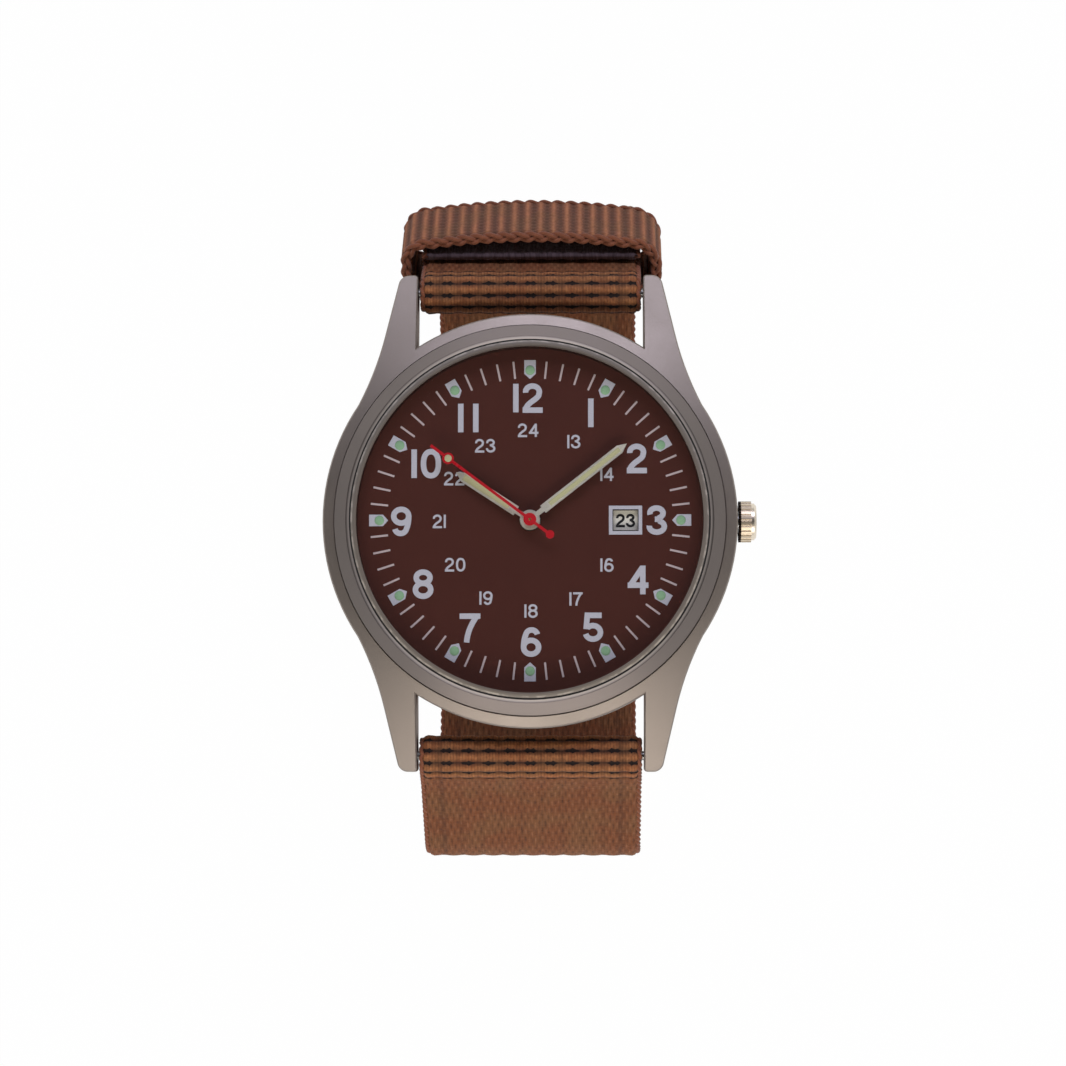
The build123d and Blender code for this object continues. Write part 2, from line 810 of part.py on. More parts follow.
# Mainplate: carries the train below, and the motion works and calendar above
with BuildPart() as mainplate:
    upright(centre, skirt_low_z, rim_top_z, movement_radius)
    upright(centre, skirt_low_z, plate_low_z, skirt_inner_radius, Mode.SUBTRACT)
    upright(centre, ring_seat_z, rim_top_z, rim_inner_radius, Mode.SUBTRACT)
    upright(centre, plate_top_z, ring_seat_z, ring_seat_inner_radius, Mode.SUBTRACT)
    for place in bridge_screws + board_screws:
        upright(place, skirt_low_z, plate_low_z, pillar_radius)
    for place in coil_tabs:
        upright(place, core_low_z + core_thickness + stator_thickness, plate_low_z, core_tab_radius)
    with Locations((stem_block_x, 0, stem_block_low_z)):
        Box(
            skirt_inner_radius - stem_block_x, stem_block_width, plate_low_z - stem_block_low_z,
            align=(Align.MIN, Align.CENTER, Align.MIN),
        )
    # Studs of the motion works, the calendar and the setting lever
    upright(minute_wheel_place, plate_top_z, hour_wheel_z + wheel_thickness, small_stud_radius)
    upright(setting_place, plate_top_z, minute_wheel_z + 2 * wheel_thickness, stud_radius)
    upright(date_wheel_place, plate_top_z, date_ring_z + date_ring_thickness, finger_stud_radius)
    upright((jumper_post_x, jumper_post_y), plate_top_z, date_ring_z, jumper_post_radius)
    upright((yoke_post_x, yoke_post_y), plate_top_z, yoke_z, jumper_post_radius)
    # Pockets for the battery, the coil and the quartz can
    upright((battery_x, battery_y), skirt_low_z, pocket_roof_z, battery_radius + part_gap, Mode.SUBTRACT)
    with BuildSketch(coil_line.offset(skirt_low_z)):
        Rectangle(coil_length + 2 * part_gap, 2 * (coil_radius + part_gap))
    extrude(amount=pocket_roof_z - skirt_low_z, mode=Mode.SUBTRACT)
    with Locations((can_x, can_y, skirt_low_z)):
        Box(
            can_length + 2 * part_gap, 2 * (can_radius + part_gap), pocket_roof_z - skirt_low_z,
            align=standing, mode=Mode.SUBTRACT,
        )
    # Centre hole and bearings
    upright(centre, plate_low_z, plate_top_z, centre_pipe_radius + pipe_clearance, Mode.SUBTRACT)
    bearing_holes(pivot_radius + pivot_clearance, plate_low_z, arbor_top_z + pivot_clearance, train_places)
    # Stem bore, the sliding pinion's pocket and the slot of the setting lever's pin
    spindle(stem_block_x, pinion_x, stem_pivot_radius + bearing_clearance, mode=Mode.SUBTRACT)
    spindle(
        pinion_pocket_end_x, movement_radius + overrun, stem_radius + bearing_clearance,
        mode=Mode.SUBTRACT,
    )
    with Locations((stem_square_x, 0, stem_block_low_z - overrun)):
        Box(
            pinion_pocket_end_x - stem_square_x, 2 * (pinion_radius + part_gap),
            plate_top_z - stem_block_low_z + 2 * overrun,
            align=(Align.MIN, Align.CENTER, Align.MIN), mode=Mode.SUBTRACT,
        )
    with Locations((lever_pin_x - lever_end_radius, 0, stem_z)):
        Box(
            stem_travel + 2 * lever_end_radius, 2 * lever_end_radius, plate_top_z - stem_z + overrun,
            align=(Align.MIN, Align.CENTER, Align.MIN), mode=Mode.SUBTRACT,
        )
    # Room for the setting lever in the calendar ring's seat
    lever_room = lever_pivot_y + 2 * lever_hub_radius
    with Locations((lever_pin_x - 2 * lever_hub_radius, lever_room / 2 - lever_hub_radius, plate_top_z)):
        Box(
            lever_pivot[0] - lever_pin_x + 4 * lever_hub_radius, lever_room + 2 * lever_hub_radius,
            rim_top_z - plate_top_z,
            align=(Align.MIN, Align.CENTER, Align.MIN), mode=Mode.SUBTRACT,
        )
    upright(lever_pivot, plate_top_z, lever_z + lever_thickness, stud_radius)
    # Holes for the screws and the dial's feet
    for place in bridge_screws + board_screws + coil_tabs:
        upright(place, skirt_low_z, screw_end_z, screw_shank_radius, Mode.SUBTRACT)
    for turn in (dial_foot_angle, dial_foot_angle + 180):
        foot = polar(centre, dial_foot_ring, turn)
        upright(
            foot, dial_low_z - dial_foot_length - bearing_clearance, rim_top_z,
            dial_foot_radius + bearing_clearance, Mode.SUBTRACT,
        )
mainplate.part.label = "mainplate"
export_step(mainplate.part, "parts/mainplate.step")

# Train bridge: covers the going train on the back side
bridge_low_z = skirt_low_z - bridge_thickness
with BuildPart() as train_bridge:
    with BuildSketch(Plane.XY.offset(bridge_low_z)):
        Circle(bridge_radius)
        with Locations((0, bridge_edge_y)):
            Rectangle(
                2 * movement_radius, 2 * movement_radius,
                align=(Align.CENTER, Align.MIN), mode=Mode.INTERSECT,
            )
        with Locations((battery_x, battery_y)):
            Circle(battery_radius + part_gap, mode=Mode.SUBTRACT)
        with Locations(*bridge_screws):
            Circle(screw_shank_radius + bearing_clearance, mode=Mode.SUBTRACT)
        with Locations(centre, *train_places):
            Circle(pivot_radius + pivot_clearance + pivot_clearance, mode=Mode.SUBTRACT)
    extrude(amount=bridge_thickness)
    with BuildSketch(coil_line.offset(bridge_low_z)):
        Rectangle(2 * (core_tab_distance + core_tab_radius), 2 * (coil_radius + part_gap))
    extrude(amount=bridge_thickness, mode=Mode.SUBTRACT)
train_bridge.part.label = "train_bridge"
export_step(train_bridge.part, "parts/train_bridge.step")

# Circuit board: fills the rest of the back side, round the battery
board_low_z = skirt_low_z - board_thickness
with BuildPart() as circuit_board:
    with BuildSketch(Plane.XY.offset(board_low_z)):
        Circle(board_radius)
        with Locations((0, board_edge_y)):
            Rectangle(
                2 * movement_radius, movement_radius,
                align=(Align.CENTER, Align.MAX), mode=Mode.INTERSECT,
            )
        with Locations((battery_x, battery_y)):
            Circle(battery_radius + part_gap, mode=Mode.SUBTRACT)
        with Locations(*board_screws):
            Circle(screw_shank_radius + bearing_clearance, mode=Mode.SUBTRACT)
    extrude(amount=board_thickness)
circuit_board.part.label = "circuit_board"
export_step(circuit_board.part, "parts/circuit_board.step")

with BuildPart() as quartz_can:
    spindle(can_x - can_length / 2, can_x + can_length / 2, can_radius, can_y, can_z)
quartz_can.part.label = "quartz_can"
export_step(quartz_can.part, "parts/quartz_can.step")

with BuildPart() as battery:
    upright((battery_x, battery_y), battery_low_z, battery_low_z + battery_height, battery_radius)
    chamfer(battery.edges().filter_by(GeomType.CIRCLE).sort_by(Axis.Z)[0], part_gap)
battery.part.label = "battery"
export_step(battery.part, "parts/battery.step")

# Battery clamp: a spring strip across the battery, from the bridge's edge
with BuildPart() as battery_clamp:
    with BuildSketch(Plane.XY.offset(battery_low_z - clamp_thickness)):
        with Locations((battery_x, battery_y)):
            Rectangle(clamp_width, 2 * (battery_radius + pillar_radius))
    extrude(amount=clamp_thickness)
battery_clamp.part.label = "battery_clamp"
export_step(battery_clamp.part, "parts/battery_clamp.step")

# Stepping motor: coil on its core, stator and rotor
with BuildPart() as coil_core:
    with BuildSketch(coil_line.offset(core_low_z)):
        Rectangle(2 * core_tab_distance, core_width)
        with Locations((core_tab_distance, 0), (-core_tab_distance, 0)):
            Circle(core_tab_radius)
            Circle(screw_shank_radius + bearing_clearance, mode=Mode.SUBTRACT)
    extrude(amount=core_thickness)
coil_core.part.label = "coil_core"
export_step(coil_core.part, "parts/coil_core.step")

with BuildPart() as coil:
    core_middle_z = core_low_z + core_thickness / 2
    with Locations(coil_line.offset(core_middle_z)):
        Cylinder(coil_radius, coil_length, rotation=along_x)
        Box(
            coil_length, core_width + 2 * seat_clearance, core_thickness + 2 * seat_clearance,
            mode=Mode.SUBTRACT,
        )
coil.part.label = "coil"
export_step(coil.part, "parts/coil.step")

stator_low_z = core_low_z + core_thickness
rotor_along = (rotor_place[0] - coil_x) * cos(radians(coil_angle))
rotor_along += (rotor_place[1] - coil_y) * sin(radians(coil_angle))
with BuildPart() as stator:
    with BuildSketch(coil_line.offset(stator_low_z)):
        with Locations((0, -stator_bar_distance)):
            Rectangle(2 * (core_tab_distance + core_tab_radius), stator_bar_width)
        with Locations((core_tab_distance, 0), (-core_tab_distance, 0)):
            Circle(core_tab_radius)
            Rectangle(2 * core_tab_radius, stator_bar_distance, align=(Align.CENTER, Align.MAX))
            Circle(screw_shank_radius + bearing_clearance, mode=Mode.SUBTRACT)
        with Locations((rotor_along, -stator_bar_distance)):
            Circle(stator_hole_radius + stator_hole_radius / 2)
            Circle(stator_hole_radius, mode=Mode.SUBTRACT)
    extrude(amount=stator_thickness)
stator.part.label = "stator"
export_step(stator.part, "parts/stator.step")

# One set of screws: bridge and board screws from the back, coil screws under the core's tabs
with BuildPart() as movement_screws:
    heads = [(place, bridge_low_z) for place in bridge_screws]
    heads += [(place, board_low_z) for place in board_screws]
    heads += [(place, core_low_z) for place in coil_tabs]
    for place, seat_z in heads:
        upright(place, seat_z - screw_head_height, seat_z, screw_head_radius)
        upright(place, seat_z, screw_end_z, screw_shank_radius)
movement_screws.part.label = "movement_screws"
export_step(movement_screws.part, "parts/movement_screws.step")

# Phases of the train's teeth, worked out from wheel to wheel so that each pair is in mesh
fifth_phase = mesh_phase(rotor_place, rotor_leaves, 0.0, fifth_place, fifth_teeth)
fourth_phase = mesh_phase(fifth_place, fifth_leaves, 0.0, centre, fourth_teeth)
third_phase = mesh_phase(centre, fourth_leaves, 0.0, third_place, third_teeth)
centre_phase = mesh_phase(third_place, third_leaves, 0.0, centre, centre_teeth)


def pivots(place):
    """Adds an arbor that runs in the bridge and in the mainplate."""
    upright(place, arbor_low_z, arbor_top_z, pivot_radius)


with BuildPart() as rotor:
    toothed_disc(rotor_place, fifth_wheel_z, train_pinion_height, rotor_leaves, rotor_module)
    upright(rotor_place, rotor_magnet_z, rotor_magnet_z + rotor_magnet_height, rotor_magnet_radius)
    upright(rotor_place, fifth_wheel_z, rotor_magnet_z, arbor_radius)
    pivots(rotor_place)
rotor.part.label = "rotor"
export_step(rotor.part, "parts/rotor.step")

with BuildPart() as fifth_wheel:
    toothed_disc(fifth_place, fifth_wheel_z, wheel_thickness, fifth_teeth, rotor_module, fifth_phase)
    toothed_disc(fifth_place, fourth_wheel_z, train_pinion_height, fifth_leaves, fifth_module)
    upright(fifth_place, fifth_wheel_z, fourth_wheel_z, arbor_radius)
    pivots(fifth_place)
fifth_wheel.part.label = "fifth_wheel"
export_step(fifth_wheel.part, "parts/fifth_wheel.step")

with BuildPart() as fourth_wheel:
    toothed_disc(centre, fourth_wheel_z, wheel_thickness, fourth_teeth, fifth_module, fourth_phase)
    toothed_disc(centre, third_wheel_z, train_pinion_height, fourth_leaves, fourth_module)
    upright(centre, third_wheel_z, fourth_wheel_z, arbor_radius)
    upright(centre, arbor_low_z, third_wheel_z, pivot_radius)
    upright(centre, third_wheel_z, second_hand_z + second_hand_thickness, seconds_arbor_radius)
fourth_wheel.part.label = "fourth_wheel"
export_step(fourth_wheel.part, "parts/fourth_wheel.step")

with BuildPart() as third_wheel:
    toothed_disc(third_place, third_wheel_z, wheel_thickness, third_teeth, fourth_module, third_phase)
    toothed_disc(third_place, centre_wheel_z, train_pinion_height, third_leaves, third_module)
    upright(third_place, third_wheel_z, centre_wheel_z, arbor_radius)
    pivots(third_place)
third_wheel.part.label = "third_wheel"
export_step(third_wheel.part, "parts/third_wheel.step")

with BuildPart() as centre_wheel:
    toothed_disc(centre, centre_wheel_z, wheel_thickness, centre_teeth, third_module, centre_phase)
    upright(centre, centre_wheel_z, centre_pipe_top_z, centre_pipe_radius)
    upright(centre, centre_wheel_z, centre_pipe_top_z, centre_pipe_bore, Mode.SUBTRACT)
centre_wheel.part.label = "centre_wheel"
export_step(centre_wheel.part, "parts/centre_wheel.step")

# Motion works: the cannon pinion slips on the centre wheel's pipe when the hands are set
minute_phase = mesh_phase(centre, cannon_leaves, 0.0, minute_wheel_place, minute_wheel_teeth)
hour_phase = mesh_phase(minute_wheel_place, minute_wheel_leaves, 0.0, centre, hour_wheel_teeth)
setting_phase = mesh_phase(
    minute_wheel_place, minute_wheel_teeth, minute_phase, setting_place, setting_wheel_teeth
)
date_wheel_phase = mesh_phase(centre, hour_wheel_teeth, hour_phase, date_wheel_place, date_wheel_teeth)

with BuildPart() as cannon_pinion:
    toothed_disc(centre, cannon_low_z, cannon_leaf_height, cannon_leaves, cannon_module)
    upright(centre, cannon_low_z, minute_hand_z + hand_thickness, cannon_radius)
    upright(centre, cannon_low_z, minute_hand_z + hand_thickness, cannon_bore, Mode.SUBTRACT)
cannon_pinion.part.label = "cannon_pinion"
export_step(cannon_pinion.part, "parts/cannon_pinion.step")

with BuildPart() as minute_wheel:
    toothed_disc(
        minute_wheel_place, minute_wheel_z, wheel_thickness, minute_wheel_teeth, cannon_module,
        minute_phase,
    )
    toothed_disc(
        minute_wheel_place, minute_wheel_z + wheel_thickness,
        hour_wheel_z - minute_wheel_z, minute_wheel_leaves, hour_module,
    )
    upright(
        minute_wheel_place, minute_wheel_z, hour_wheel_z + wheel_thickness,
        small_stud_radius + bearing_clearance, Mode.SUBTRACT,
    )
minute_wheel.part.label = "minute_wheel"
export_step(minute_wheel.part, "parts/minute_wheel.step")

with BuildPart() as hour_wheel:
    toothed_disc(centre, hour_wheel_z, wheel_thickness, hour_wheel_teeth, hour_module, hour_phase)
    upright(centre, hour_wheel_z, hour_hand_z + hand_thickness, hour_pipe_radius)
    upright(centre, hour_wheel_z, hour_hand_z + hand_thickness, hour_pipe_bore, Mode.SUBTRACT)
hour_wheel.part.label = "hour_wheel"
export_step(hour_wheel.part, "parts/hour_wheel.step")

with BuildPart() as setting_wheel:
    toothed_disc(
        setting_place, minute_wheel_z, wheel_thickness, setting_wheel_teeth, cannon_module,
        setting_phase,
    )
    upright(
        setting_place, minute_wheel_z, minute_wheel_z + wheel_thickness,
        stud_radius + bearing_clearance, Mode.SUBTRACT,
    )
setting_wheel.part.label = "setting_wheel"
export_step(setting_wheel.part, "parts/setting_wheel.step")

# Calendar: a wheel that turns once a day, whose finger moves the ring by one tooth
with BuildPart() as date_driving_wheel:
    toothed_disc(
        date_wheel_place, hour_wheel_z, wheel_thickness, date_wheel_teeth, hour_module,
        date_wheel_phase,
    )
    upright(date_wheel_place, hour_wheel_z, date_ring_z + date_ring_thickness, date_hub_radius)
    finger_plane = Plane(origin=(*date_wheel_place, date_ring_z)).rotated((0, 0, date_wheel_angle))
    with BuildSketch(finger_plane):
        Rectangle(date_finger_length, date_finger_width, align=(Align.MAX, Align.CENTER))
    extrude(amount=date_ring_thickness)
    upright(
        date_wheel_place, hour_wheel_z, date_ring_z + date_ring_thickness,
        finger_stud_radius + bearing_clearance, Mode.SUBTRACT,
    )
date_driving_wheel.part.label = "date_driving_wheel"
export_step(date_driving_wheel.part, "parts/date_driving_wheel.step")


def ring_teeth():
    """Corners of the calendar ring's opening, whose teeth point inwards."""
    pitch = 2 * pi / date_ring_teeth
    corners = []
    for tooth in range(date_ring_teeth):
        middle = tooth * pitch
        for radius, share in (
            (date_ring_root, -1 / 2),
            (date_ring_tip, -tooth_tip_share),
            (date_ring_tip, tooth_tip_share),
        ):
            turn = middle + share * pitch
            corners.append((radius * cos(turn), radius * sin(turn)))
    return corners


with BuildPart() as date_ring:
    with BuildSketch(Plane.XY.offset(date_ring_z)):
        Circle(date_ring_outer)
        Polygon(*ring_teeth(), align=None, mode=Mode.SUBTRACT)
    extrude(amount=date_ring_thickness)
date_ring.part.label = "date_ring"
export_step(date_ring.part, "parts/date_ring.step")

with BuildPart() as date_jumper:
    beak = polar(centre, date_ring_tip - jumper_clearance, jumper_angle)
    with BuildSketch(Plane.XY.offset(date_ring_z)):
        with Locations((jumper_post_x, jumper_post_y)):
            Circle(jumper_post_radius)
        Polygon(
            (jumper_post_x + jumper_post_radius, jumper_post_y),
            (jumper_post_x, jumper_post_y - jumper_post_radius),
            beak,
            align=None,
        )
    extrude(amount=date_ring_thickness)
date_jumper.part.label = "date_jumper"
export_step(date_jumper.part, "parts/date_jumper.step")

with BuildPart() as calendar_plate:
    upright(
        centre, calendar_plate_z, calendar_plate_z + calendar_plate_thickness, calendar_plate_radius
    )
    upright(
        centre, calendar_plate_z, calendar_plate_z + calendar_plate_thickness,
        hour_pipe_radius + hour_pipe_wall, Mode.SUBTRACT,
    )
calendar_plate.part.label = "calendar_plate"
export_step(calendar_plate.part, "parts/calendar_plate.step")

# Stem: pivot, square for the sliding pinion, groove for the setting lever, and thread end
with BuildPart() as stem:
    spindle(stem_start_x, stem_square_x, stem_pivot_radius)
    with Locations((stem_square_x, 0, stem_z)):
        Box(
            stem_round_x - stem_square_x, stem_square, stem_square,
            align=(Align.MIN, Align.CENTER, Align.CENTER),
        )
    spindle(stem_round_x, stem_groove_x, stem_radius)
    spindle(stem_groove_x, stem_groove_x + stem_groove_length, stem_groove_radius)
    spindle(stem_groove_x + stem_groove_length, stem_end_x, stem_radius)
stem.part.label = "stem"
export_step(stem.part, "parts/stem.step")

with BuildPart() as sliding_pinion:
    spindle(pinion_x, pinion_x + pinion_length, pinion_radius)
    with BuildSketch(Plane.YZ.offset(pinion_groove_x)):
        with Locations((0, stem_z)):
            Circle(pinion_radius + overrun)
            Circle(pinion_groove_radius, mode=Mode.SUBTRACT)
    extrude(amount=pinion_groove_length, mode=Mode.SUBTRACT)
    with Locations((pinion_x, 0, stem_z)):
        Box(
            pinion_length, stem_square + bearing_clearance, stem_square + bearing_clearance,
            align=(Align.MIN, Align.CENTER, Align.CENTER), mode=Mode.SUBTRACT,
        )
sliding_pinion.part.label = "sliding_pinion"
export_step(sliding_pinion.part, "parts/sliding_pinion.step")

# Setting lever: turns on its stud, and its pin rides in the stem's groove
with BuildPart() as setting_lever:
    lever_reach = hypot(stem_travel / 2, lever_pivot_y)
    lever_turn = degrees(atan2(-lever_pivot_y, -stem_travel / 2))
    lever_plane = Plane(origin=(*lever_pivot, lever_z)).rotated((0, 0, lever_turn))
    with BuildSketch(lever_plane):
        Circle(lever_hub_radius)
        Rectangle(lever_reach, 2 * lever_end_radius, align=(Align.MIN, Align.CENTER))
        with Locations((lever_reach, 0)):
            Circle(lever_end_radius)
        Circle(stud_radius + bearing_clearance, mode=Mode.SUBTRACT)
    extrude(amount=lever_thickness)
    lever_pin_low_z = stem_z + stem_groove_radius + bearing_clearance
    upright((lever_pin_x, 0), lever_pin_low_z, lever_z, lever_pin_radius)
setting_lever.part.label = "setting_lever"
export_step(setting_lever.part, "parts/setting_lever.step")

# Yoke: a flat lever from its post to the sliding pinion's groove
with BuildPart() as yoke:
    yoke_tip_x = pinion_groove_x + pinion_groove_length / 2
    with BuildSketch(Plane.XY.offset(yoke_z)):
        with Locations((yoke_post_x, yoke_post_y)):
            Circle(yoke_width)
            Rectangle(yoke_width, yoke_post_y - pinion_radius, align=(Align.CENTER, Align.MAX))
        with Locations((yoke_tip_x, 0)):
            Rectangle(
                pinion_groove_length - 2 * bearing_clearance, pinion_radius + yoke_width,
                align=(Align.CENTER, Align.MIN),
            )
    extrude(amount=yoke_thickness)
yoke.part.label = "yoke"
export_step(yoke.part, "parts/yoke.step")

with BuildPart() as crown_tube:
    spindle(case_bore_radius, tube_end_x, tube_radius)
    spindle(case_bore_radius, tube_end_x, stem_radius + bearing_clearance, mode=Mode.SUBTRACT)
crown_tube.part.label = "crown_tube"
export_step(crown_tube.part, "parts/crown_tube.step")

# Crown: a fluted knob with a plain collar at its end, hollow where the tube enters
with BuildPart() as crown:
    with BuildSketch(Plane.YZ.offset(crown_x)):
        with Locations((0, stem_z)):
            Circle(crown_radius)
            with PolarLocations(crown_radius, crown_flutes):
                Circle(flute_radius, mode=Mode.SUBTRACT)
    extrude(amount=crown_knurl_length)
    spindle(crown_x + crown_knurl_length, crown_end_x, crown_collar_radius)
    chamfer(crown.edges().filter_by(GeomType.CIRCLE).sort_by(Axis.X)[-1], crown_chamfer)
    spindle(crown_x, crown_x + crown_recess_depth, crown_recess_radius, mode=Mode.SUBTRACT)
    spindle(crown_x, stem_end_x, stem_radius, mode=Mode.SUBTRACT)
crown.part.label = "crown"
export_step(crown.part, "parts/crown.step")

with BuildPart() as crown_gasket:
    spindle(crown_x + crown_gap, crown_x + crown_gap + gasket_length, crown_recess_radius)
    spindle(
        crown_x + crown_gap, crown_x + crown_gap + gasket_length, tube_radius + seat_clearance,
        mode=Mode.SUBTRACT,
    )
crown_gasket.part.label = "crown_gasket"
export_step(crown_gasket.part, "parts/crown_gasket.step")


def make_spring_bar(name, y):
    """A spring bar: a tube with narrowed ends, a hollow plunger in each end, a spring between."""
    tube_end = bar_tube_length / 2
    barrel_end = tube_end - bar_end_wall - plunger_reach / 2
    with BuildPart() as tube:
        spindle(-tube_end, tube_end, bar_tube_radius, y, bar_z)
        spindle(
            bar_end_wall - tube_end, tube_end - bar_end_wall, bar_tube_bore, y, bar_z, Mode.SUBTRACT
        )
        spindle(
            -tube_end, tube_end, plunger_neck_radius + bearing_clearance, y, bar_z, Mode.SUBTRACT
        )
    tube.part.label = f"spring_bar_{name}"
    export_step(tube.part, f"parts/spring_bar_{name}.step")
    for end, side in (("crown_side", 1), ("far_side", -1)):
        barrel = sorted((side * barrel_end, side * (barrel_end - plunger_barrel_length)))
        neck = sorted((side * barrel_end, side * (lug_gap / 2 + plunger_reach)))
        with BuildPart() as plunger:
            spindle(barrel[0], barrel[1], plunger_barrel_radius, y, bar_z)
            spindle(neck[0], neck[1], plunger_neck_radius, y, bar_z)
            mouth = side * (barrel_end - plunger_barrel_length)
            bore = sorted((mouth, mouth + side * plunger_bore_depth))
            spindle(bore[0], bore[1], plunger_bore_radius, y, bar_z, Mode.SUBTRACT)
        plunger.part.label = f"plunger_{name}_{end}"
        export_step(plunger.part, f"parts/plunger_{name}_{end}.step")
    with BuildPart() as spring:
        spring_end = barrel_end - plunger_barrel_length + bar_spring_seat
        spindle(-spring_end, spring_end, bar_spring_radius, y, bar_z)
        spindle(-spring_end, spring_end, bar_spring_bore, y, bar_z, Mode.SUBTRACT)
    spring.part.label = f"bar_spring_{name}"
    export_step(spring.part, f"parts/bar_spring_{name}.step")


make_spring_bar("12", bar_y)
make_spring_bar("6", -bar_y)


def wrap_outline(side):
    """Corners of the webbing's taper from the wrap round a spring bar to its two flat layers."""
    return [
        on_arm(side, 0, wrap_radius),
        on_arm(side, wrap_taper_length, webbing),
        on_arm(side, wrap_taper_length, -webbing),
        on_arm(side, 0, -wrap_radius),
    ]


# Strap, 12 o'clock half: from its spring bar to the buckle's bar, doubled and sewn at both ends
middle = webbing / 2
with BuildPart() as strap_12:
    with BuildSketch(Plane.YZ.offset(-strap_width / 2)):
        with BuildLine():
            FilletPolyline(
                on_arm(1, 0, middle),
                shoulder_corner(1, middle),
                bottom_corner(1, middle),
                (buckle_bar_y, loop_low_z - middle),
                radius=[shoulder_radius + middle, corner_radius + middle],
            )
        trace(line_width=webbing)
        with BuildLine():
            Line(on_arm(1, 0, -middle), on_arm(1, lug_double_length, -middle))
        trace(line_width=webbing)
        with BuildLine():
            Line(
                (buckle_bar_y, loop_low_z + middle),
                (buckle_bar_y + buckle_double_length, loop_low_z + middle),
            )
        trace(line_width=webbing)
        Polygon(*wrap_outline(1), align=None)
        Polygon(
            (buckle_bar_y, loop_low_z - wrap_radius),
            (buckle_bar_y + wrap_taper_length - webbing, loop_low_z - webbing),
            (buckle_bar_y + wrap_taper_length - webbing, loop_low_z + webbing),
            (buckle_bar_y, loop_low_z + wrap_radius),
            align=None,
        )
        with Locations((bar_y, bar_z)):
            Circle(wrap_radius)
            Circle(bar_tube_radius + strap_fit, mode=Mode.SUBTRACT)
        with Locations((buckle_bar_y, loop_low_z)):
            Circle(buckle_bar_radius + webbing)
            Circle(buckle_bar_radius + strap_fit, mode=Mode.SUBTRACT)
    extrude(amount=strap_width)
    # Slot through the wrap for the buckle's tongue
    with Locations((0, buckle_bar_y + tongue_ring_radius + part_gap, loop_low_z)):
        Box(
            tongue_slot_width, 2 * (wrap_radius + tongue_ring_radius), 2 * (wrap_radius + webbing),
            align=(Align.CENTER, Align.MAX, Align.CENTER), mode=Mode.SUBTRACT,
        )
strap_12.part.label = "strap_12"
export_step(strap_12.part, "parts/strap_12.step")

# Strap, 6 o'clock half: under the crossbar, over the bar, then outside the other half to its tip
tail_middle = tail_lift + middle
with BuildPart() as strap_6:
    with BuildSketch(Plane.YZ.offset(-strap_width / 2)):
        with BuildLine():
            FilletPolyline(
                on_arm(-1, 0, middle),
                shoulder_corner(-1, middle),
                bottom_corner(-1, middle),
                (tail_ramp_foot_y, loop_low_z - middle),
                (tail_ramp_top_y, loop_low_z - tail_ramp_lift - middle),
                (tail_level_end_y, loop_low_z - tail_ramp_lift - middle),
                (tail_settle_y, loop_low_z - tail_middle),
                bottom_corner(1, tail_middle),
                shoulder_corner(1, tail_middle),
                on_arm(1, tail_tip_reach, tail_middle),
                radius=[
                    shoulder_radius + middle,
                    corner_radius + middle,
                    tail_bend_radius,
                    tail_crest_radius,
                    tail_crest_radius,
                    tail_crest_radius,
                    corner_radius + tail_middle,
                    shoulder_radius + tail_middle,
                ],
            )
        trace(line_width=webbing)
        with BuildLine():
            Line(on_arm(-1, 0, -middle), on_arm(-1, lug_double_length, -middle))
        trace(line_width=webbing)
        Polygon(*wrap_outline(-1), align=None)
        with Locations((-bar_y, bar_z)):
            Circle(wrap_radius)
            Circle(bar_tube_radius + strap_fit, mode=Mode.SUBTRACT)
    extrude(amount=strap_width)
    # Hole that the tongue passes through, and the free holes beside it in the flat and the corner
    with BuildSketch(Plane.XY.offset(loop_low_z - 2 * tail_ramp_lift - webbing)):
        with Locations((0, tongue_hole_y)):
            SlotOverall(tongue_hole_length, tongue_hole_width, rotation=90)
    extrude(amount=2 * tail_ramp_lift + 2 * webbing, mode=Mode.SUBTRACT)
    for hole in range(tail_holes):
        level = shoulder_low_z - side_length / 2 + (1 / 2 - hole % 2) * hole_pitch
        outward = 1 if hole < tail_holes / 2 else -1
        lift = tail_middle if outward == 1 else middle
        with BuildSketch(Plane.XZ.offset(-outward * (loop_half + lift))):
            with Locations((0, level)):
                Circle(hole_radius)
        extrude(amount=webbing, both=True, mode=Mode.SUBTRACT)
strap_6.part.label = "strap_6"
export_step(strap_6.part, "parts/strap_6.step")


def keeper_section():
    """Adds a keeper's closed band to the sketch: x across the strap, y out from the loop."""
    band_height = keeper_high_lift - keeper_low_lift
    band_width = strap_width + keeper_side_gap * 2
    outer_height = band_height + 2 * keeper_wall
    with Locations((0, (keeper_high_lift + keeper_low_lift) / 2)):
        RectangleRounded(band_width + 2 * keeper_wall, outer_height, keeper_corner)
        RectangleRounded(
            band_width, band_height, keeper_opening_corner_share * band_height, mode=Mode.SUBTRACT
        )


def keeper_arch_over(flat_half, level, mode):
    """Adds to the sketch, or cuts from it, the arched piece over a flat run at a level."""
    with BuildLine() as arch:
        ThreePointArc((-flat_half, level), (0, level + keeper_arch), (flat_half, level))
        Line((flat_half, level), (-flat_half, level))
    make_face(arch.edges(), mode=mode)


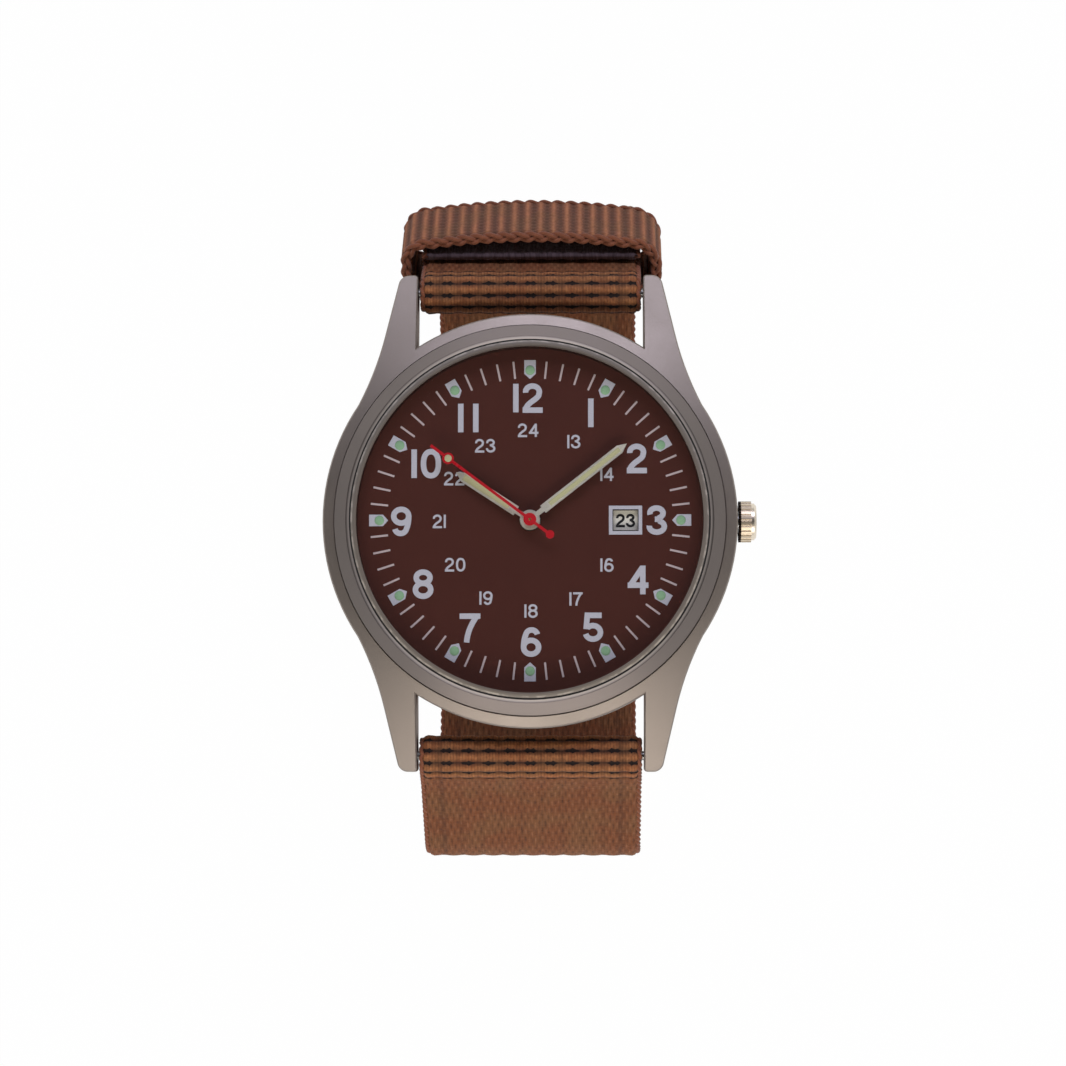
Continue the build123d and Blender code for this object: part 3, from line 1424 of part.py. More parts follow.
# Floating keeper: slides on the arm of the loop next to the 12 o'clock lugs; its outer run is arched
keeper_place = on_arm(1, keeper_start, 0)
with BuildPart() as floating_keeper:
    arm_plane = Plane(
        origin=(0, keeper_place[0], keeper_place[1]),
        x_dir=(-1, 0, 0),
        z_dir=(0, arm_cos, -arm_sin),
    )
    with BuildSketch(arm_plane):
        keeper_section()
        flat_half = strap_width / 2 + keeper_side_gap + keeper_wall - keeper_corner
        keeper_arch_over(flat_half, keeper_high_lift + keeper_wall, Mode.ADD)
        keeper_arch_over(flat_half, keeper_high_lift, Mode.SUBTRACT)
    extrude(amount=keeper_length)
floating_keeper.part.label = "floating_keeper"
export_step(floating_keeper.part, "parts/floating_keeper.step")

# Fixed keeper: sewn round the strap beside the buckle
with BuildPart() as fixed_keeper:
    bottom_plane = Plane(
        origin=(0, fixed_keeper_y, loop_low_z), x_dir=(1, 0, 0), z_dir=(0, 1, 0)
    )
    with BuildSketch(bottom_plane):
        keeper_section()
    extrude(amount=fixed_keeper_length)
fixed_keeper.part.label = "fixed_keeper"
export_step(fixed_keeper.part, "parts/fixed_keeper.step")

# Buckle frame: two rails from the bar to a crossbar that lies outside the strap
crossbar_low_z = loop_low_z - stand_lift
crossbar_top_z = loop_low_z - webbing - crossbar_gap
tongue_tip_z = crossbar_low_z + tongue_thickness / 2
with BuildPart() as buckle_frame:
    for side in (-1, 1):
        with BuildSketch(Plane.YZ.offset(side * rail_inner_x)):
            with Locations((buckle_bar_y, loop_low_z)):
                Circle(rail_end_radius)
            Polygon(
                (buckle_bar_y, loop_low_z + rail_end_radius),
                (buckle_bar_y, loop_low_z - rail_end_radius),
                (crossbar_y + crossbar_width / 2, crossbar_low_z),
                (crossbar_y - crossbar_width / 2, crossbar_low_z),
                (crossbar_y - crossbar_width / 2, crossbar_top_z),
                align=None,
            )
        extrude(amount=side * rail_width)
    with Locations((0, crossbar_y, crossbar_low_z)):
        Box(2 * rail_outer_x, crossbar_width, crossbar_top_z - crossbar_low_z, align=standing)
    spindle(-rail_outer_x, rail_outer_x, buckle_bar_radius, buckle_bar_y, loop_low_z, Mode.SUBTRACT)
    with Locations((0, crossbar_y, crossbar_low_z)):
        Box(
            tongue_width + 2 * tongue_notch_clearance, crossbar_width,
            tongue_thickness + 3 * tongue_notch_clearance,
            align=standing, mode=Mode.SUBTRACT,
        )
buckle_frame.part.label = "buckle_frame"
export_step(buckle_frame.part, "parts/buckle_frame.step")

with BuildPart() as buckle_bar:
    spindle(-rail_outer_x, rail_outer_x, buckle_bar_radius, buckle_bar_y, loop_low_z)
buckle_bar.part.label = "buckle_bar"
export_step(buckle_bar.part, "parts/buckle_bar.step")

# Buckle tongue: from its ring on the bar, up through the strap's hole, to the notch in the crossbar
with BuildPart() as buckle_tongue:
    reach = crossbar_offset + tongue_reach
    knee_y = buckle_bar_y - tongue_knee_share * reach
    rise_y = buckle_bar_y - tongue_rise_share * reach
    with BuildSketch(Plane.YZ.offset(-tongue_width / 2)):
        with BuildLine():
            FilletPolyline(
                (buckle_bar_y, loop_low_z),
                (knee_y, loop_low_z - tongue_notch_clearance),
                (rise_y, tongue_tip_z + tongue_thickness),
                (buckle_bar_y - reach, tongue_tip_z + tongue_notch_clearance),
                radius=[tongue_thickness, tongue_thickness],
            )
        trace(line_width=tongue_thickness)
        with Locations((buckle_bar_y, loop_low_z)):
            Circle(tongue_ring_radius)
            Circle(buckle_bar_radius + strap_fit, mode=Mode.SUBTRACT)
    extrude(amount=tongue_width)
buckle_tongue.part.label = "buckle_tongue"
export_step(buckle_tongue.part, "parts/buckle_tongue.step")
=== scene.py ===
import bmesh
import bpy
import json
import numpy as np
from functools import partial
from math import cos, pi, radians, sin
from mathutils import Matrix, Vector


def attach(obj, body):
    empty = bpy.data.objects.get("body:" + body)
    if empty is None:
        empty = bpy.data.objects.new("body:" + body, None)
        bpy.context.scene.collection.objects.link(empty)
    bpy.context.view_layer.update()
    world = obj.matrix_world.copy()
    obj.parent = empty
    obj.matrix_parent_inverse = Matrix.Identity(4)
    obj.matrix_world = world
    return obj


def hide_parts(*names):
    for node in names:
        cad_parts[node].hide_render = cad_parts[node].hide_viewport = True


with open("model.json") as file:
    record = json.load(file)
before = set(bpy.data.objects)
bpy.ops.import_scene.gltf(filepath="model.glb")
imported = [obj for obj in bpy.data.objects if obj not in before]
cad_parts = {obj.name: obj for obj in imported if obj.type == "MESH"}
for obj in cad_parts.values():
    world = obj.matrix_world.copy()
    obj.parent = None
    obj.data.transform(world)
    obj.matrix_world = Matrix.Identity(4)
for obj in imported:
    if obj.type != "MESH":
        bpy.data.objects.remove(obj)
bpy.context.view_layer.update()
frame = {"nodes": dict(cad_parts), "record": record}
nodes = frame["nodes"]
scene = bpy.context.scene

# The scene is in metres and the numbers below are in millimetres; mm turns them into metres
mm = 0.001

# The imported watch's own levels and places
dial_top_z = 5.35
date_ring_top_z = 4.8
window_x = 8.5
bar_y = 20.9
bar_z = 1.8
strap_width = 20.0
strap_angle = radians(54)
loop_half = 29.1
loop_low_z = -40.435
floor_z = -44.035
buckle_bar_y = 1.0
hole_levels = (-14.185, -20.685)
keeper_start = 3.5
keeper_width = 7.2
fixed_keeper_width = 6.0
fixed_keeper_y = 7.6

# The webbing: its thickness; how far the middles of its two layers, and of the tail, lie from the
# loop's line; the radius of a wrap round a bar, how far out from the bar it starts and how far off the
# line it is there; and where a folded end stops
webbing = 1.04
layer = 0.55
tail_layer = 1.8
wrap_line = 1.375
wrap_reach = 3.6
wrap_layer = 0.58
fold_reach = 11
# Pitches of its ribs, its warp columns, the teeth of gaps and the pits; how deep its faces sink between
# ribs and at the sealed tip, and how deep its edges are notched
rib_pitch = 1.2
column_pitch = 1.86
tooth_pitch = 0.58
pit_pitch = 0.62
rib_depth = 0.2
sealed_depth = 0.2
edge_jag_depth = 0.12

# The photograph's side and scale, and where it has the middle of the dial
image_side = 1066
pixels_per_mm = 11.247
dial_pixel = (530, 520)


def linear(code):
    """An sRGB hex colour as linear light: each share under 0.04045 is divided by 12.92, and above it
    raised to 2.4 after a lift of 0.055."""
    share = np.array([int(code[i : i + 2], 16) for i in (1, 3, 5)]) / 255
    low, high = share / 12.92, ((share + 0.055) / 1.055) ** 2.4
    return (*np.where(share < 0.04045, low, high).tolist(), 1.0)


def add(tree, kind, *values, into=None, **settings):
    """Adds one node, sets its properties and fills its shown inputs: values in their order, and into by
    their names. A value is a number, an sRGB hex code, another node's output, or a node for its first
    shown output. A kind such as "Math:SINE" or "Mix:RGBA" also says its operation or data type."""
    kind, _, choice = kind.partition(":")
    if choice:
        settings["data_type" if kind == "Mix" else "operation"] = choice
    made = tree.nodes.new("ShaderNode" + kind)
    for key, value in settings.items():
        setattr(made, key, value)
    shown = [socket for socket in made.inputs if socket.enabled]
    named = {socket.name: socket for socket in reversed(shown)}
    for socket, value in [*zip(shown, values), *((named[key], v) for key, v in (into or {}).items())]:
        if isinstance(value, bpy.types.Node):
            value = next(output for output in value.outputs if output.enabled)
        if isinstance(value, str):
            value = linear(value)
        if isinstance(value, bpy.types.NodeSocket):
            tree.links.new(value, socket)
        elif value is not None:
            socket.default_value = value
    return made


def new_material(name):
    """An empty node material, as (material, put), where put is add() for its tree."""
    made = bpy.data.materials.new(name)
    made.use_nodes = True
    made.node_tree.nodes.clear()
    return made, partial(add, made.node_tree)


def zone(put, place, axes, none, full):
    """0 at one distance from the middle and 1 at another, in millimetres: the length of the place
    times axes, so that (1, 1, 0) measures from the z axis and (1, 0, 0) along x."""
    away = put("VectorMath:LENGTH", put("VectorMath:MULTIPLY", place, axes))
    return put("MapRange", away, none * mm, full * mm, 0.0, 1.0)


def grained(
    name, light, dark, metallic, rough, grain_mm, bump_mm, stretch=(1, 1, 1), spread=0.08, turned=0.0,
    zones=(), **more,
):
    """A finish whose colour goes from dark to light, and whose roughness varies, with a noise of one
    grain size in millimetres; the same noise lifts the surface by bump_mm. Stretch draws the grain out.
    Turned above 0 gives lathe marks round the z axis, which spread the reflections outward. Each of
    zones is (axes, none, full, colour, rough): where zone() is 1, that colour and roughness."""
    made, put = new_material(name)
    place = put("TexCoord").outputs["Object"]
    drawn = put("Mapping", place, into={"Scale": stretch})
    fine = {"Vector": drawn, "Scale": 1 / (grain_mm * mm), "Detail": 4.0, "Roughness": 0.6}
    grain = put("TexNoise", into=fine)
    patch = put("TexNoise", into={"Vector": place, "Scale": 1 / (40 * grain_mm * mm), "Detail": 2.0})
    both = put("Mix:FLOAT", 0.45, grain, patch)
    tone = put("Mix:RGBA", both, dark, light)
    gloss = put("MapRange", both, 0.3, 0.7, rough - spread, rough + spread)
    relief = put("Bump", into={"Height": grain, "Distance": bump_mm * mm, "Strength": 1.0})
    for axes, none, full, zone_colour, zone_rough in zones:
        inside = zone(put, place, axes, none, full)
        tone = put("Mix:RGBA", inside, tone, zone_colour)
        gloss = put("Mix:FLOAT", inside, gloss, zone_rough)
    skin = {"Base Color": tone, "Metallic": metallic, "Roughness": gloss, "Normal": relief, **more}
    if turned:
        round_axis = put("Tangent", direction_type="RADIAL", axis="Z")
        skin |= {"Anisotropic": turned, "Anisotropic Rotation": 0.25, "Tangent": round_axis}
    put("OutputMaterial", put("BsdfPrincipled", into=skin))
    return made


# How weakly matt finishes reflect
dull = {"Specular IOR Level": 0.25}
flat = {"Specular IOR Level": 0.12}

# Finishes, one for each material slot of the record
finish = {
    # Stainless steel, bead-blasted: soft blurred reflections broken by a fine grain, drawn at 0.16 mm
    # because the real 0.05 mm pits are too fine to show
    "blasted_steel": grained("stainless_steel_bead_blasted", "#a0978f", "#978e88", 1.0, 0.5, 0.16, 0.001),
    "buckle_steel": grained("buckle_steel_bead_blasted", "#a69d97", "#969089", 1.0, 0.38, 0.16, 0.001),
    # Turned and plated steel of the crown: brighter and champagne-toned, with marks round its axis, a
    # shinier collar, and painted shade near black on the chamfer that faces the case
    "crown_steel": grained(
        "plated_steel_turned", "#dccfba", "#c8b9a3", 1.0, 0.42, 0.12, 0.001, (6, 1, 1), 0.05,
        # The second zone is painted shade, near black, on the crown's inner end beside the case
        zones=[((1, 0, 0), 19.72, 19.76, "#e3d8c6", 0.3), ((1, 0, 0), 18.86, 18.8, "#1d1510", 0.5)],
    ),
    # Spring-bar steel, centreless ground: grey, with marks round the bar
    "bar_steel": grained("spring_steel_ground", "#b3b2b0", "#9b9a98", 1.0, 0.3, 0.1, 0.001, (5, 1, 1)),
    # Carbon steel of the small works, stamped and tumbled: cold grey with a soft shine
    "movement_steel": grained("carbon_steel_stamped", "#b5b6b8", "#999a9c", 1.0, 0.28, 0.1, 0.001),
    # Nitrile rubber, moulded: black and dull
    "black_gasket": grained("nitrile_rubber_moulded", "#1d1d1e", "#121213", 0.0, 0.6, 0.1, 0.001, **dull),
    # Brown dial lacquer, sprayed over brass: nearly matt, with a faint dusty grain drawn at 0.12 mm
    "dial_paint": grained("dial_lacquer_matt_brown", "#502820", "#46211b", 0.0, 0.62, 0.12, 0.002, **flat),
    # Plated ring between dial and crystal: dark olive metal, polished enough to mirror the minute marks
    "ring_metal": grained(
        "brass_ring_plated_satin", "#776c62", "#645a51", 1.0, 0.16, 0.1, 0.001, spread=0.05
    ),
    # Brass hands, stamped and nickel plated: pale satin edges
    "hand_metal": grained("brass_hand_nickel_plated", "#efebdc", "#dedaca", 1.0, 0.42, 0.08, 0.001),
    # Luminous compound, poured: chalky, grainy, yellow-green
    "lume_paint": grained("luminous_compound_poured", "#d3d0a6", "#bbb98e", 0.0, 0.85, 0.14, 0.012, **dull),
    # Red hand enamel, dipped: glossy and even
    "red_paint": grained("hand_enamel_red", "#d00f22", "#b20a1c", 0.0, 0.32, 0.2, 0.001),
    # Date ring's printed ground: matt beige
    "calendar_paint": grained(
        "calendar_ring_printed_beige", "#fdfaf0", "#f4f0e4", 0.0, 0.7, 0.12, 0.001, **dull
    ),
    # Acetal holder, moulded: milky white with a soft gloss
    "holder_plastic": grained("acetal_moulded_white", "#dcdad2", "#cfccc2", 0.0, 0.45, 0.4, 0.002),
    # Nickel-plated brass plates, finely ground: warm grey lines along x
    "nickel_brass": grained(
        "brass_plate_nickel_plated", "#cfc8b8", "#b5ae9e", 1.0, 0.3, 0.1, 0.001, (1, 8, 8)
    ),
    # Cut brass wheels: yellow, with fine turning marks
    "wheel_brass": grained("brass_wheel_cut", "#e0bf74", "#c9a558", 1.0, 0.26, 0.08, 0.001),
    # Epoxy circuit board with green solder mask: glossy over a faint glass weave
    "board_green": grained("circuit_board_solder_mask", "#1d5a36", "#15472a", 0.0, 0.28, 0.3, 0.003),
    # Enamelled copper winding: orange-brown, turns drawn at 0.1 mm across the coil
    "coil_copper": grained("copper_wire_enamelled", "#c0713c", "#8d4a22", 1.0, 0.34, 0.1, 0.01, (1, 1, 8)),
    # Sintered magnet: dark grey and slightly pitted
    "magnet": grained("sintered_magnet_ground", "#4a4b4e", "#38393b", 1.0, 0.45, 0.08, 0.002),
    # Moulded gear plastic: ivory with a low gloss
    "gear_plastic": grained("gear_acetal_moulded", "#cfcdc4", "#bfbcb2", 0.0, 0.4, 0.2, 0.001),
}


def glass_that_lets_lamps_through():
    """Mineral glass, ground and polished: clear and mirror-smooth, with a bevel left ground, which
    looks grey, with a painted highlight broken into painted glints along its outer edge. Lamps shine
    through it unbent, so the dial is lit as it is behind a real crystal."""
    made, put = new_material("mineral_glass_polished")
    place = put("TexCoord").outputs["Object"]
    wipe = put("TexNoise", into={"Vector": place, "Scale": 0.18 / mm, "Detail": 2.0})
    gloss = put("MapRange", wipe, 0.35, 0.75, 0.0, 0.02)
    clear_glass = {
        "Base Color": "#fcfdfc", "Roughness": gloss, "IOR": 1.5, "Transmission Weight": 1.0,
        "Specular IOR Level": 0.25,
    }
    pane = put("BsdfPrincipled", into=clear_glass)
    # Painted glints: a lighter line, broken by noise, along the bevel's outer edge
    glint_noise = put("TexNoise", into={"Vector": place, "Scale": 1.1 / mm, "Detail": 2.0})
    glint_share = put("MapRange", glint_noise, 0.46, 0.62, 0.25, 1.0)
    outer = put("Math:MULTIPLY", zone(put, place, (1, 1, 0), 15.66, 15.74), glint_share)
    bevel = put("Mix:RGBA", outer, "#736b63", "#b8b0a6")
    ground = put("BsdfPrincipled", into={"Base Color": bevel, "Roughness": 0.38})
    edge = zone(put, place, (1, 1, 0), 15.36, 15.42)
    pane = put("MixShader", edge, pane, ground)
    clear = put("BsdfTransparent", "#fcfdfc")
    path = put("LightPath")
    lamp = put("Math:MAXIMUM", path.outputs["Is Shadow Ray"], path.outputs["Is Diffuse Ray"])
    put("OutputMaterial", put("MixShader", lamp, pane, clear))
    return made


finish["crystal_glass"] = glass_that_lets_lamps_through()

# Nylon ring that grips the crystal, moulded: grey-olive with a soft gloss, and painted shade near
# black along its outer edge, where it meets the bezel
nylon_ring = grained(
    "nylon_gasket_olive", "#aaa497", "#938d7f", 0.0, 0.3, 0.3, 0.001,
    zones=[((1, 1, 0), 15.74, 15.82, "#1a1817", 0.6)],
)
# Pad-printed ink on the dial: pale lavender grey, matt, its thickness just catching the light
numeral_ink = grained("dial_ink_printed_lavender", "#cfcfdb", "#c3c3d0", 0.0, 0.7, 0.12, 0.001, **dull)
minute_ink = grained("dial_ink_printed_rose_white", "#d2c2c4", "#c5b5b7", 0.0, 0.7, 0.12, 0.001, **dull)
# Black ink of the date numbers, printed: matt and thin
date_ink = grained("calendar_ink_printed_black", "#1b1a1d", "#121114", 0.0, 0.55, 0.12, 0.001, **dull)
# Dots of luminous compound beside the hours, dropped on: green and chalky
dot_lume = grained("luminous_dot_green", "#a4cba6", "#86b48c", 0.0, 0.8, 0.16, 0.006, **dull)
# Edge cords of the webbing: twisted nylon yarn with fine strands along the twist
cord_yarn = grained(
    "nylon_yarn_twisted_brown", "#ac6846", "#5c3527", 0.0, 0.7, 0.16, 0.06, **dull, **{"Sheen Weight": 0.25}
)

# Bezel steel, turned and then softly blasted: its marks round the axis make it darker at the sides,
# and a painted highlight lies on its narrow flat lip
turned_steel = grained(
    "stainless_steel_turned_satin", "#948b87", "#8a817d", 1.0, 0.4, 0.16, 0.001, turned=0.7,
    # Painted highlight on the flat lip inside the bezel
    zones=[((1, 1, 0), 16.3, 16.1, "#d3ccc4", 0.7)],
)


def woven_nylon(name, ridge, body, shade, rib_share, crest, lane_pitch, groove_at, thread_pitch, gap_shade_share):
    """Nylon webbing, woven: weft ribs 1.2 mm apart run across the band, and warp threads a pitch
    apart cross them. Where the band bends the ribs stand out with painted highlights on their crests,
    and painted shade near black marks gaps between them, in groups one warp column wide, their edges
    toothed by the threads; flat cloth shows painted shade in faint columns, in a line beside each
    edge and in small pits where threads dive, the pits staggered from rib to rib and led along in
    chevrons, with small painted highlights between them. The eye sees dull brown threads with a
    slight sheen. The band's own map holds millimetres: u along it, v across."""
    made, put = new_material(name)
    at = put("UVMap", uv_map="weave")
    split = put("SeparateXYZ", at)
    along, across = split.outputs["X"], split.outputs["Y"]
    open_gap = put("Attribute", attribute_name="spread").outputs["Fac"]
    sealed = put("Attribute", attribute_name="sealed").outputs["Fac"]
    # Ribs, threads and the teeth of gaps: the size of a cosine of the distance, which peaks once a
    # pitch; a power narrows the ribs' crests and rounds the threads
    peaks = []
    for distance, pitch in ((along, rib_pitch), (across, thread_pitch), (across, tooth_pitch)):
        wave = put("Math:COSINE", put("Math:MULTIPLY", distance, pi / pitch))
        peaks.append(put("Math:ABSOLUTE", wave))
    rib = put("Math:POWER", peaks[0], crest)
    thread = put("Math:POWER", peaks[1], 0.7)
    shown = put("Mix:FLOAT", open_gap, 0.6, rib)
    # Warp columns: 0 to 1 and back to 0 in each lane
    lane = put("Math:PINGPONG", put("Math:MULTIPLY", across, 2 / lane_pitch), 1.0)
    # Pits: a sine of the length, pushed along by the place in the column, times a cosine of the
    # distance across, which together peak at every other crossing
    pushed = put("Math:MULTIPLY_ADD", lane, min(lane_pitch, 2) / 4, along)
    rows = put("Math:SINE", put("Math:MULTIPLY", pushed, pi / rib_pitch))
    beat = put("Math:COSINE", put("Math:MULTIPLY", across, 2 * pi / pit_pitch))
    stagger = put("Math:MULTIPLY", rows, beat)
    fluff = put("TexNoise", into={"Vector": at, "Scale": 2.6, "Detail": 3.0, "Roughness": 0.6})
    frayed = put("MapRange", fluff, 0.36, 0.64, 0.15, 1.0)
    pits = put("Math:MULTIPLY", put("MapRange", stagger, 0.1, 0.9, 0.0, 1.0), frayed)
    knot_highlight = put("Math:MULTIPLY", put("MapRange", stagger, -0.2, -0.95, 0.0, 1.0), frayed)
    # Where ribs stand out, pits and knots fade
    cover = put("MapRange", open_gap, 0.0, 1.0, 1.0, 0.35)
    pits = put("Math:MULTIPLY", pits, cover)
    knot_highlight = put("Math:MULTIPLY", knot_highlight, cover)
    # Painted shade of gaps: only in the hollows between ribs, widest in the middle of each group
    group = put("MapRange", lane, 0.72, 0.3, 0.12, 1.0)
    toothed = put("MapRange", peaks[2], 0.0, 1.0, gap_shade_share, 0.5 * gap_shade_share)
    depth = put("Math:MULTIPLY", put("Math:MULTIPLY", group, open_gap), toothed)
    gap_shade = put("MapRange", put("Math:SUBTRACT", rib, depth), 0.03, -0.09, 0.0, 1.0)
    # Lit colours: ridge over body by the rib, which paints highlights on crests and shade in hollows;
    # aged patches; painted highlights on knots; and painted highlights on proud ribs' crests
    lit = put("Mix:RGBA", shown, body, ridge)
    patches = put("TexNoise", into={"Vector": at, "Scale": 0.32, "Detail": 1.0})
    aged = put("MapRange", patches, 0.42, 0.62, 0.0, 0.35)
    lit = put("Mix:RGBA", aged, lit, "#80603f")
    lit = put("Mix:RGBA", put("Math:MULTIPLY", knot_highlight, 0.3), lit, "#c89370")
    crest_highlight_share = put("Math:MULTIPLY", open_gap, put("MapRange", fluff, 0.4, 0.62, 0.1, 0.6))
    crest_highlight = put("Math:MULTIPLY", put("Math:MULTIPLY", shown, shown), crest_highlight_share)
    lit = put("Mix:RGBA", crest_highlight, lit, "#cb8a58")
    # Shade: between threads, in pits, between columns and in the grooves, and uneven along strands
    shaded = put("Math:MULTIPLY", put("MapRange", thread, 0.0, 1.0, 0.55, 0.0), fluff)
    between = put("Math:MULTIPLY", shaded, put("MapRange", open_gap, 0.0, 1.0, 0.35, 1.0))
    pitted = put("Math:MULTIPLY_ADD", pits, 0.5, between)
    column = put("MapRange", lane, 0.6, 1.0, 0.0, 0.14)
    off_groove = put("Math:SUBTRACT", put("Math:ABSOLUTE", across), groove_at)
    groove = put("MapRange", put("Math:ABSOLUTE", off_groove), 0.0, 0.45, 0.34, 0.0)
    lines = put("Math:MAXIMUM", column, groove)
    drawn = put("Mapping", at, into={"Scale": (2.4, 1.3, 1.0)})
    strands = put("TexNoise", into={"Vector": drawn, "Scale": 1.0, "Detail": 3.0, "Roughness": 0.65})
    uneven = put("Math:ADD", pitted, put("MapRange", strands, 0.3, 0.7, -0.16, 0.2))
    darker = put("Math:ADD", uneven, lines, use_clamp=True)
    colour = put("Mix:RGBA", darker, lit, shade)
    # Painted shade, near black, in the gaps between ribs
    colour = put("Mix:RGBA", gap_shade, colour, "#1c1210")
    scorched = put("Mix:RGBA", frayed, "#4a3c41", "#6b5b61")
    colour = put("Mix:RGBA", sealed, colour, scorched)
    # Relief: round threads, frayed, with pits and knots, on the ribs
    rounded = put("Math:MULTIPLY_ADD", thread, 0.5, fluff)
    raised = put("Math:MULTIPLY_ADD", put("Math:MULTIPLY", stagger, cover), -0.3, rounded)
    height = put("Math:MULTIPLY_ADD", shown, rib_share, raised)
    relief = put("Bump", into={"Height": height, "Distance": 0.1 * mm, "Strength": 0.9})
    cloth = {
        "Base Color": colour, "Roughness": 0.78, "Specular IOR Level": 0.3, "Sheen Weight": 0.2,
        "Sheen Roughness": 0.45, "Sheen Tint": "#c08a68", "Normal": relief,
    }
    put("OutputMaterial", put("BsdfPrincipled", into=cloth))
    return made


# Colours of ridge, body and shade: ridge over body paints highlights on bent ribs' crests, and shade is the
# colour of the weave's painted shade
strap_cloth = woven_nylon(
    "nylon_webbing_woven_brown", "#985b36", "#4f3023", "#321f1a", 0.9, 1.3, column_pitch, 8.1, 0.27, 0.6
)
keeper_cloth = woven_nylon(
    "nylon_webbing_ribbed_brown", "#bd7b59", "#6b4637", "#3d2722", 1.2, 4.5, 40.0, 9.9, 0.3, 0.0
)

finish["strap_webbing"] = strap_cloth

# Every CAD node takes the finish of its own slot
for part in frame["record"]["subparts"]:
    coated = nodes[part["node"]].data
    coated.materials.clear()
    coated.materials.append(finish[part["material_slot"]])
nodes["crystal_gasket"].data.materials[0] = nylon_ring
nodes["bezel"].data.materials[0] = turned_steel


def make_mesh(name, corners, faces, material, body, smooth=True, outward=False):
    """A mesh object from corners in millimetres and arrays of faces, each array with one corner count;
    it gets a material and rides on a body. Outward turns all the faces of closed shapes to face out."""
    mesh = bpy.data.meshes.new(name)
    corners = np.asarray(corners, float).reshape(-1, 3) * mm
    faces = [np.asarray(some) for some in faces if len(some)]
    counts = np.concatenate([np.full(len(some), some.shape[1]) for some in faces])
    mesh.vertices.add(len(corners))
    mesh.vertices.foreach_set("co", corners.ravel())
    mesh.loops.add(int(counts.sum()))
    corner_of = np.concatenate([some.ravel() for some in faces]).astype(np.int32)
    mesh.loops.foreach_set("vertex_index", corner_of)
    mesh.polygons.add(len(counts))
    mesh.polygons.foreach_set("loop_start", (np.cumsum(counts) - counts).astype(np.int32))
    mesh.update(calc_edges=True)
    mesh.validate()
    if outward:
        shape = bmesh.new()
        shape.from_mesh(mesh)
        bmesh.ops.recalc_face_normals(shape, faces=shape.faces)
        shape.to_mesh(mesh)
        shape.free()
    mesh.polygons.foreach_set("use_smooth", np.full(len(mesh.polygons), smooth))
    piece = bpy.data.objects.new(name, mesh)
    scene.collection.objects.link(piece)
    if body:
        mesh.materials.append(material)
        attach(piece, body)
    return piece


def grid_faces(rows, columns, wrap_rows=False, wrap_columns=False):
    """Quads between neighbouring points of a rows by columns grid, each row a run of indexes; a
    wrapped direction also joins its last line to its first."""
    i = np.arange(rows if wrap_rows else rows - 1)[:, None]
    j = np.arange(columns if wrap_columns else columns - 1)[None, :]
    ahead, beside = (i + 1) % rows, (j + 1) % columns
    return np.stack(
        [i * columns + j, i * columns + beside, ahead * columns + beside, ahead * columns + j], -1
    ).reshape(-1, 4)


def rounded_line(corners, radii, step, closed=False):
    """Points spaced evenly along straight runs whose corners are arcs. Each arc starts and ends at
    radius times the tangent of half the turn from its corner, and its centre is a radius away from
    both runs."""
    corners = [np.array(c, float) for c in corners]
    n = len(corners)
    line = [] if closed else [corners[0][None]]
    inner = range(n) if closed else range(1, n - 1)
    for k, radius in zip(inner, radii):
        here, back, on = corners[k], corners[k - 1], corners[(k + 1) % n]
        a, b = (back - here) / np.linalg.norm(back - here), (on - here) / np.linalg.norm(on - here)
        half = np.arccos(np.clip(a @ b, -1, 1)) / 2
        bisector = (a + b) / np.linalg.norm(a + b)
        centre = here + bisector * radius / np.sin(half)
        first, last = here + a * radius / np.tan(half), here + b * radius / np.tan(half)
        u, w = first - centre, last - centre
        angle = np.arccos(np.clip(u @ w / radius**2, -1, 1))
        t = np.linspace(0, 1, max(4, int(angle * radius / 0.05)))[:, None]
        line.append(centre + (np.sin((1 - t) * angle) * u + np.sin(t * angle) * w) / np.sin(angle))
    line.append(line[0][:1] if closed else corners[-1][None])
    return even_points(np.concatenate(line), step)


def even_points(line, step):
    """The same line with points an even step apart, by its length."""
    gone = np.concatenate([[0], np.cumsum(np.linalg.norm(np.diff(line, axis=0), axis=1))])
    at = np.linspace(0, gone[-1], max(2, int(round(gone[-1] / step)) + 1))
    return np.stack([np.interp(at, gone, line[:, c]) for c in range(line.shape[1])], -1)


def graded_points(line, centre, reach, fine, coarse):
    """Points along the line, fine apart within reach of a centre and coarse apart elsewhere: even
    steps of the sum of each short length over its own step."""
    line = even_points(line, fine)
    step = np.where(np.linalg.norm(line - np.array(centre), axis=1) < reach, fine, coarse)
    count = np.concatenate([[0], np.cumsum(np.linalg.norm(np.diff(line, axis=0), axis=1) / step[1:])])
    at = np.linspace(0, count[-1], int(round(count[-1])) + 1)
    return np.stack([np.interp(at, count, line[:, c]) for c in (0, 1)], -1)


def sides_of(line, closed):
    """Length gone and unit normal at each point of a plane line: the normal is the tangent, found
    from the neighbouring points, turned a quarter to its left."""
    step = np.linalg.norm(np.diff(line, axis=0), axis=1)
    gone = np.concatenate([[0], np.cumsum(step)])
    if closed:
        chord = np.roll(line[:-1], -1, 0) - np.roll(line[:-1], 1, 0)
        tangent = np.vstack([chord, chord[:1]])
    else:
        tangent = np.gradient(line, axis=0)
    tangent /= np.linalg.norm(tangent, axis=1)[:, None]
    return gone, np.stack([-tangent[:, 1], tangent[:, 0]], -1)


def on_arm(side, reach, lift):
    """A point (y, z) of the loop's arm: reach along it from the spring bar, lift out of the loop."""
    return (
        side * (bar_y + reach * cos(strap_angle) + lift * sin(strap_angle)),
        bar_z - reach * sin(strap_angle) + lift * cos(strap_angle),
    )


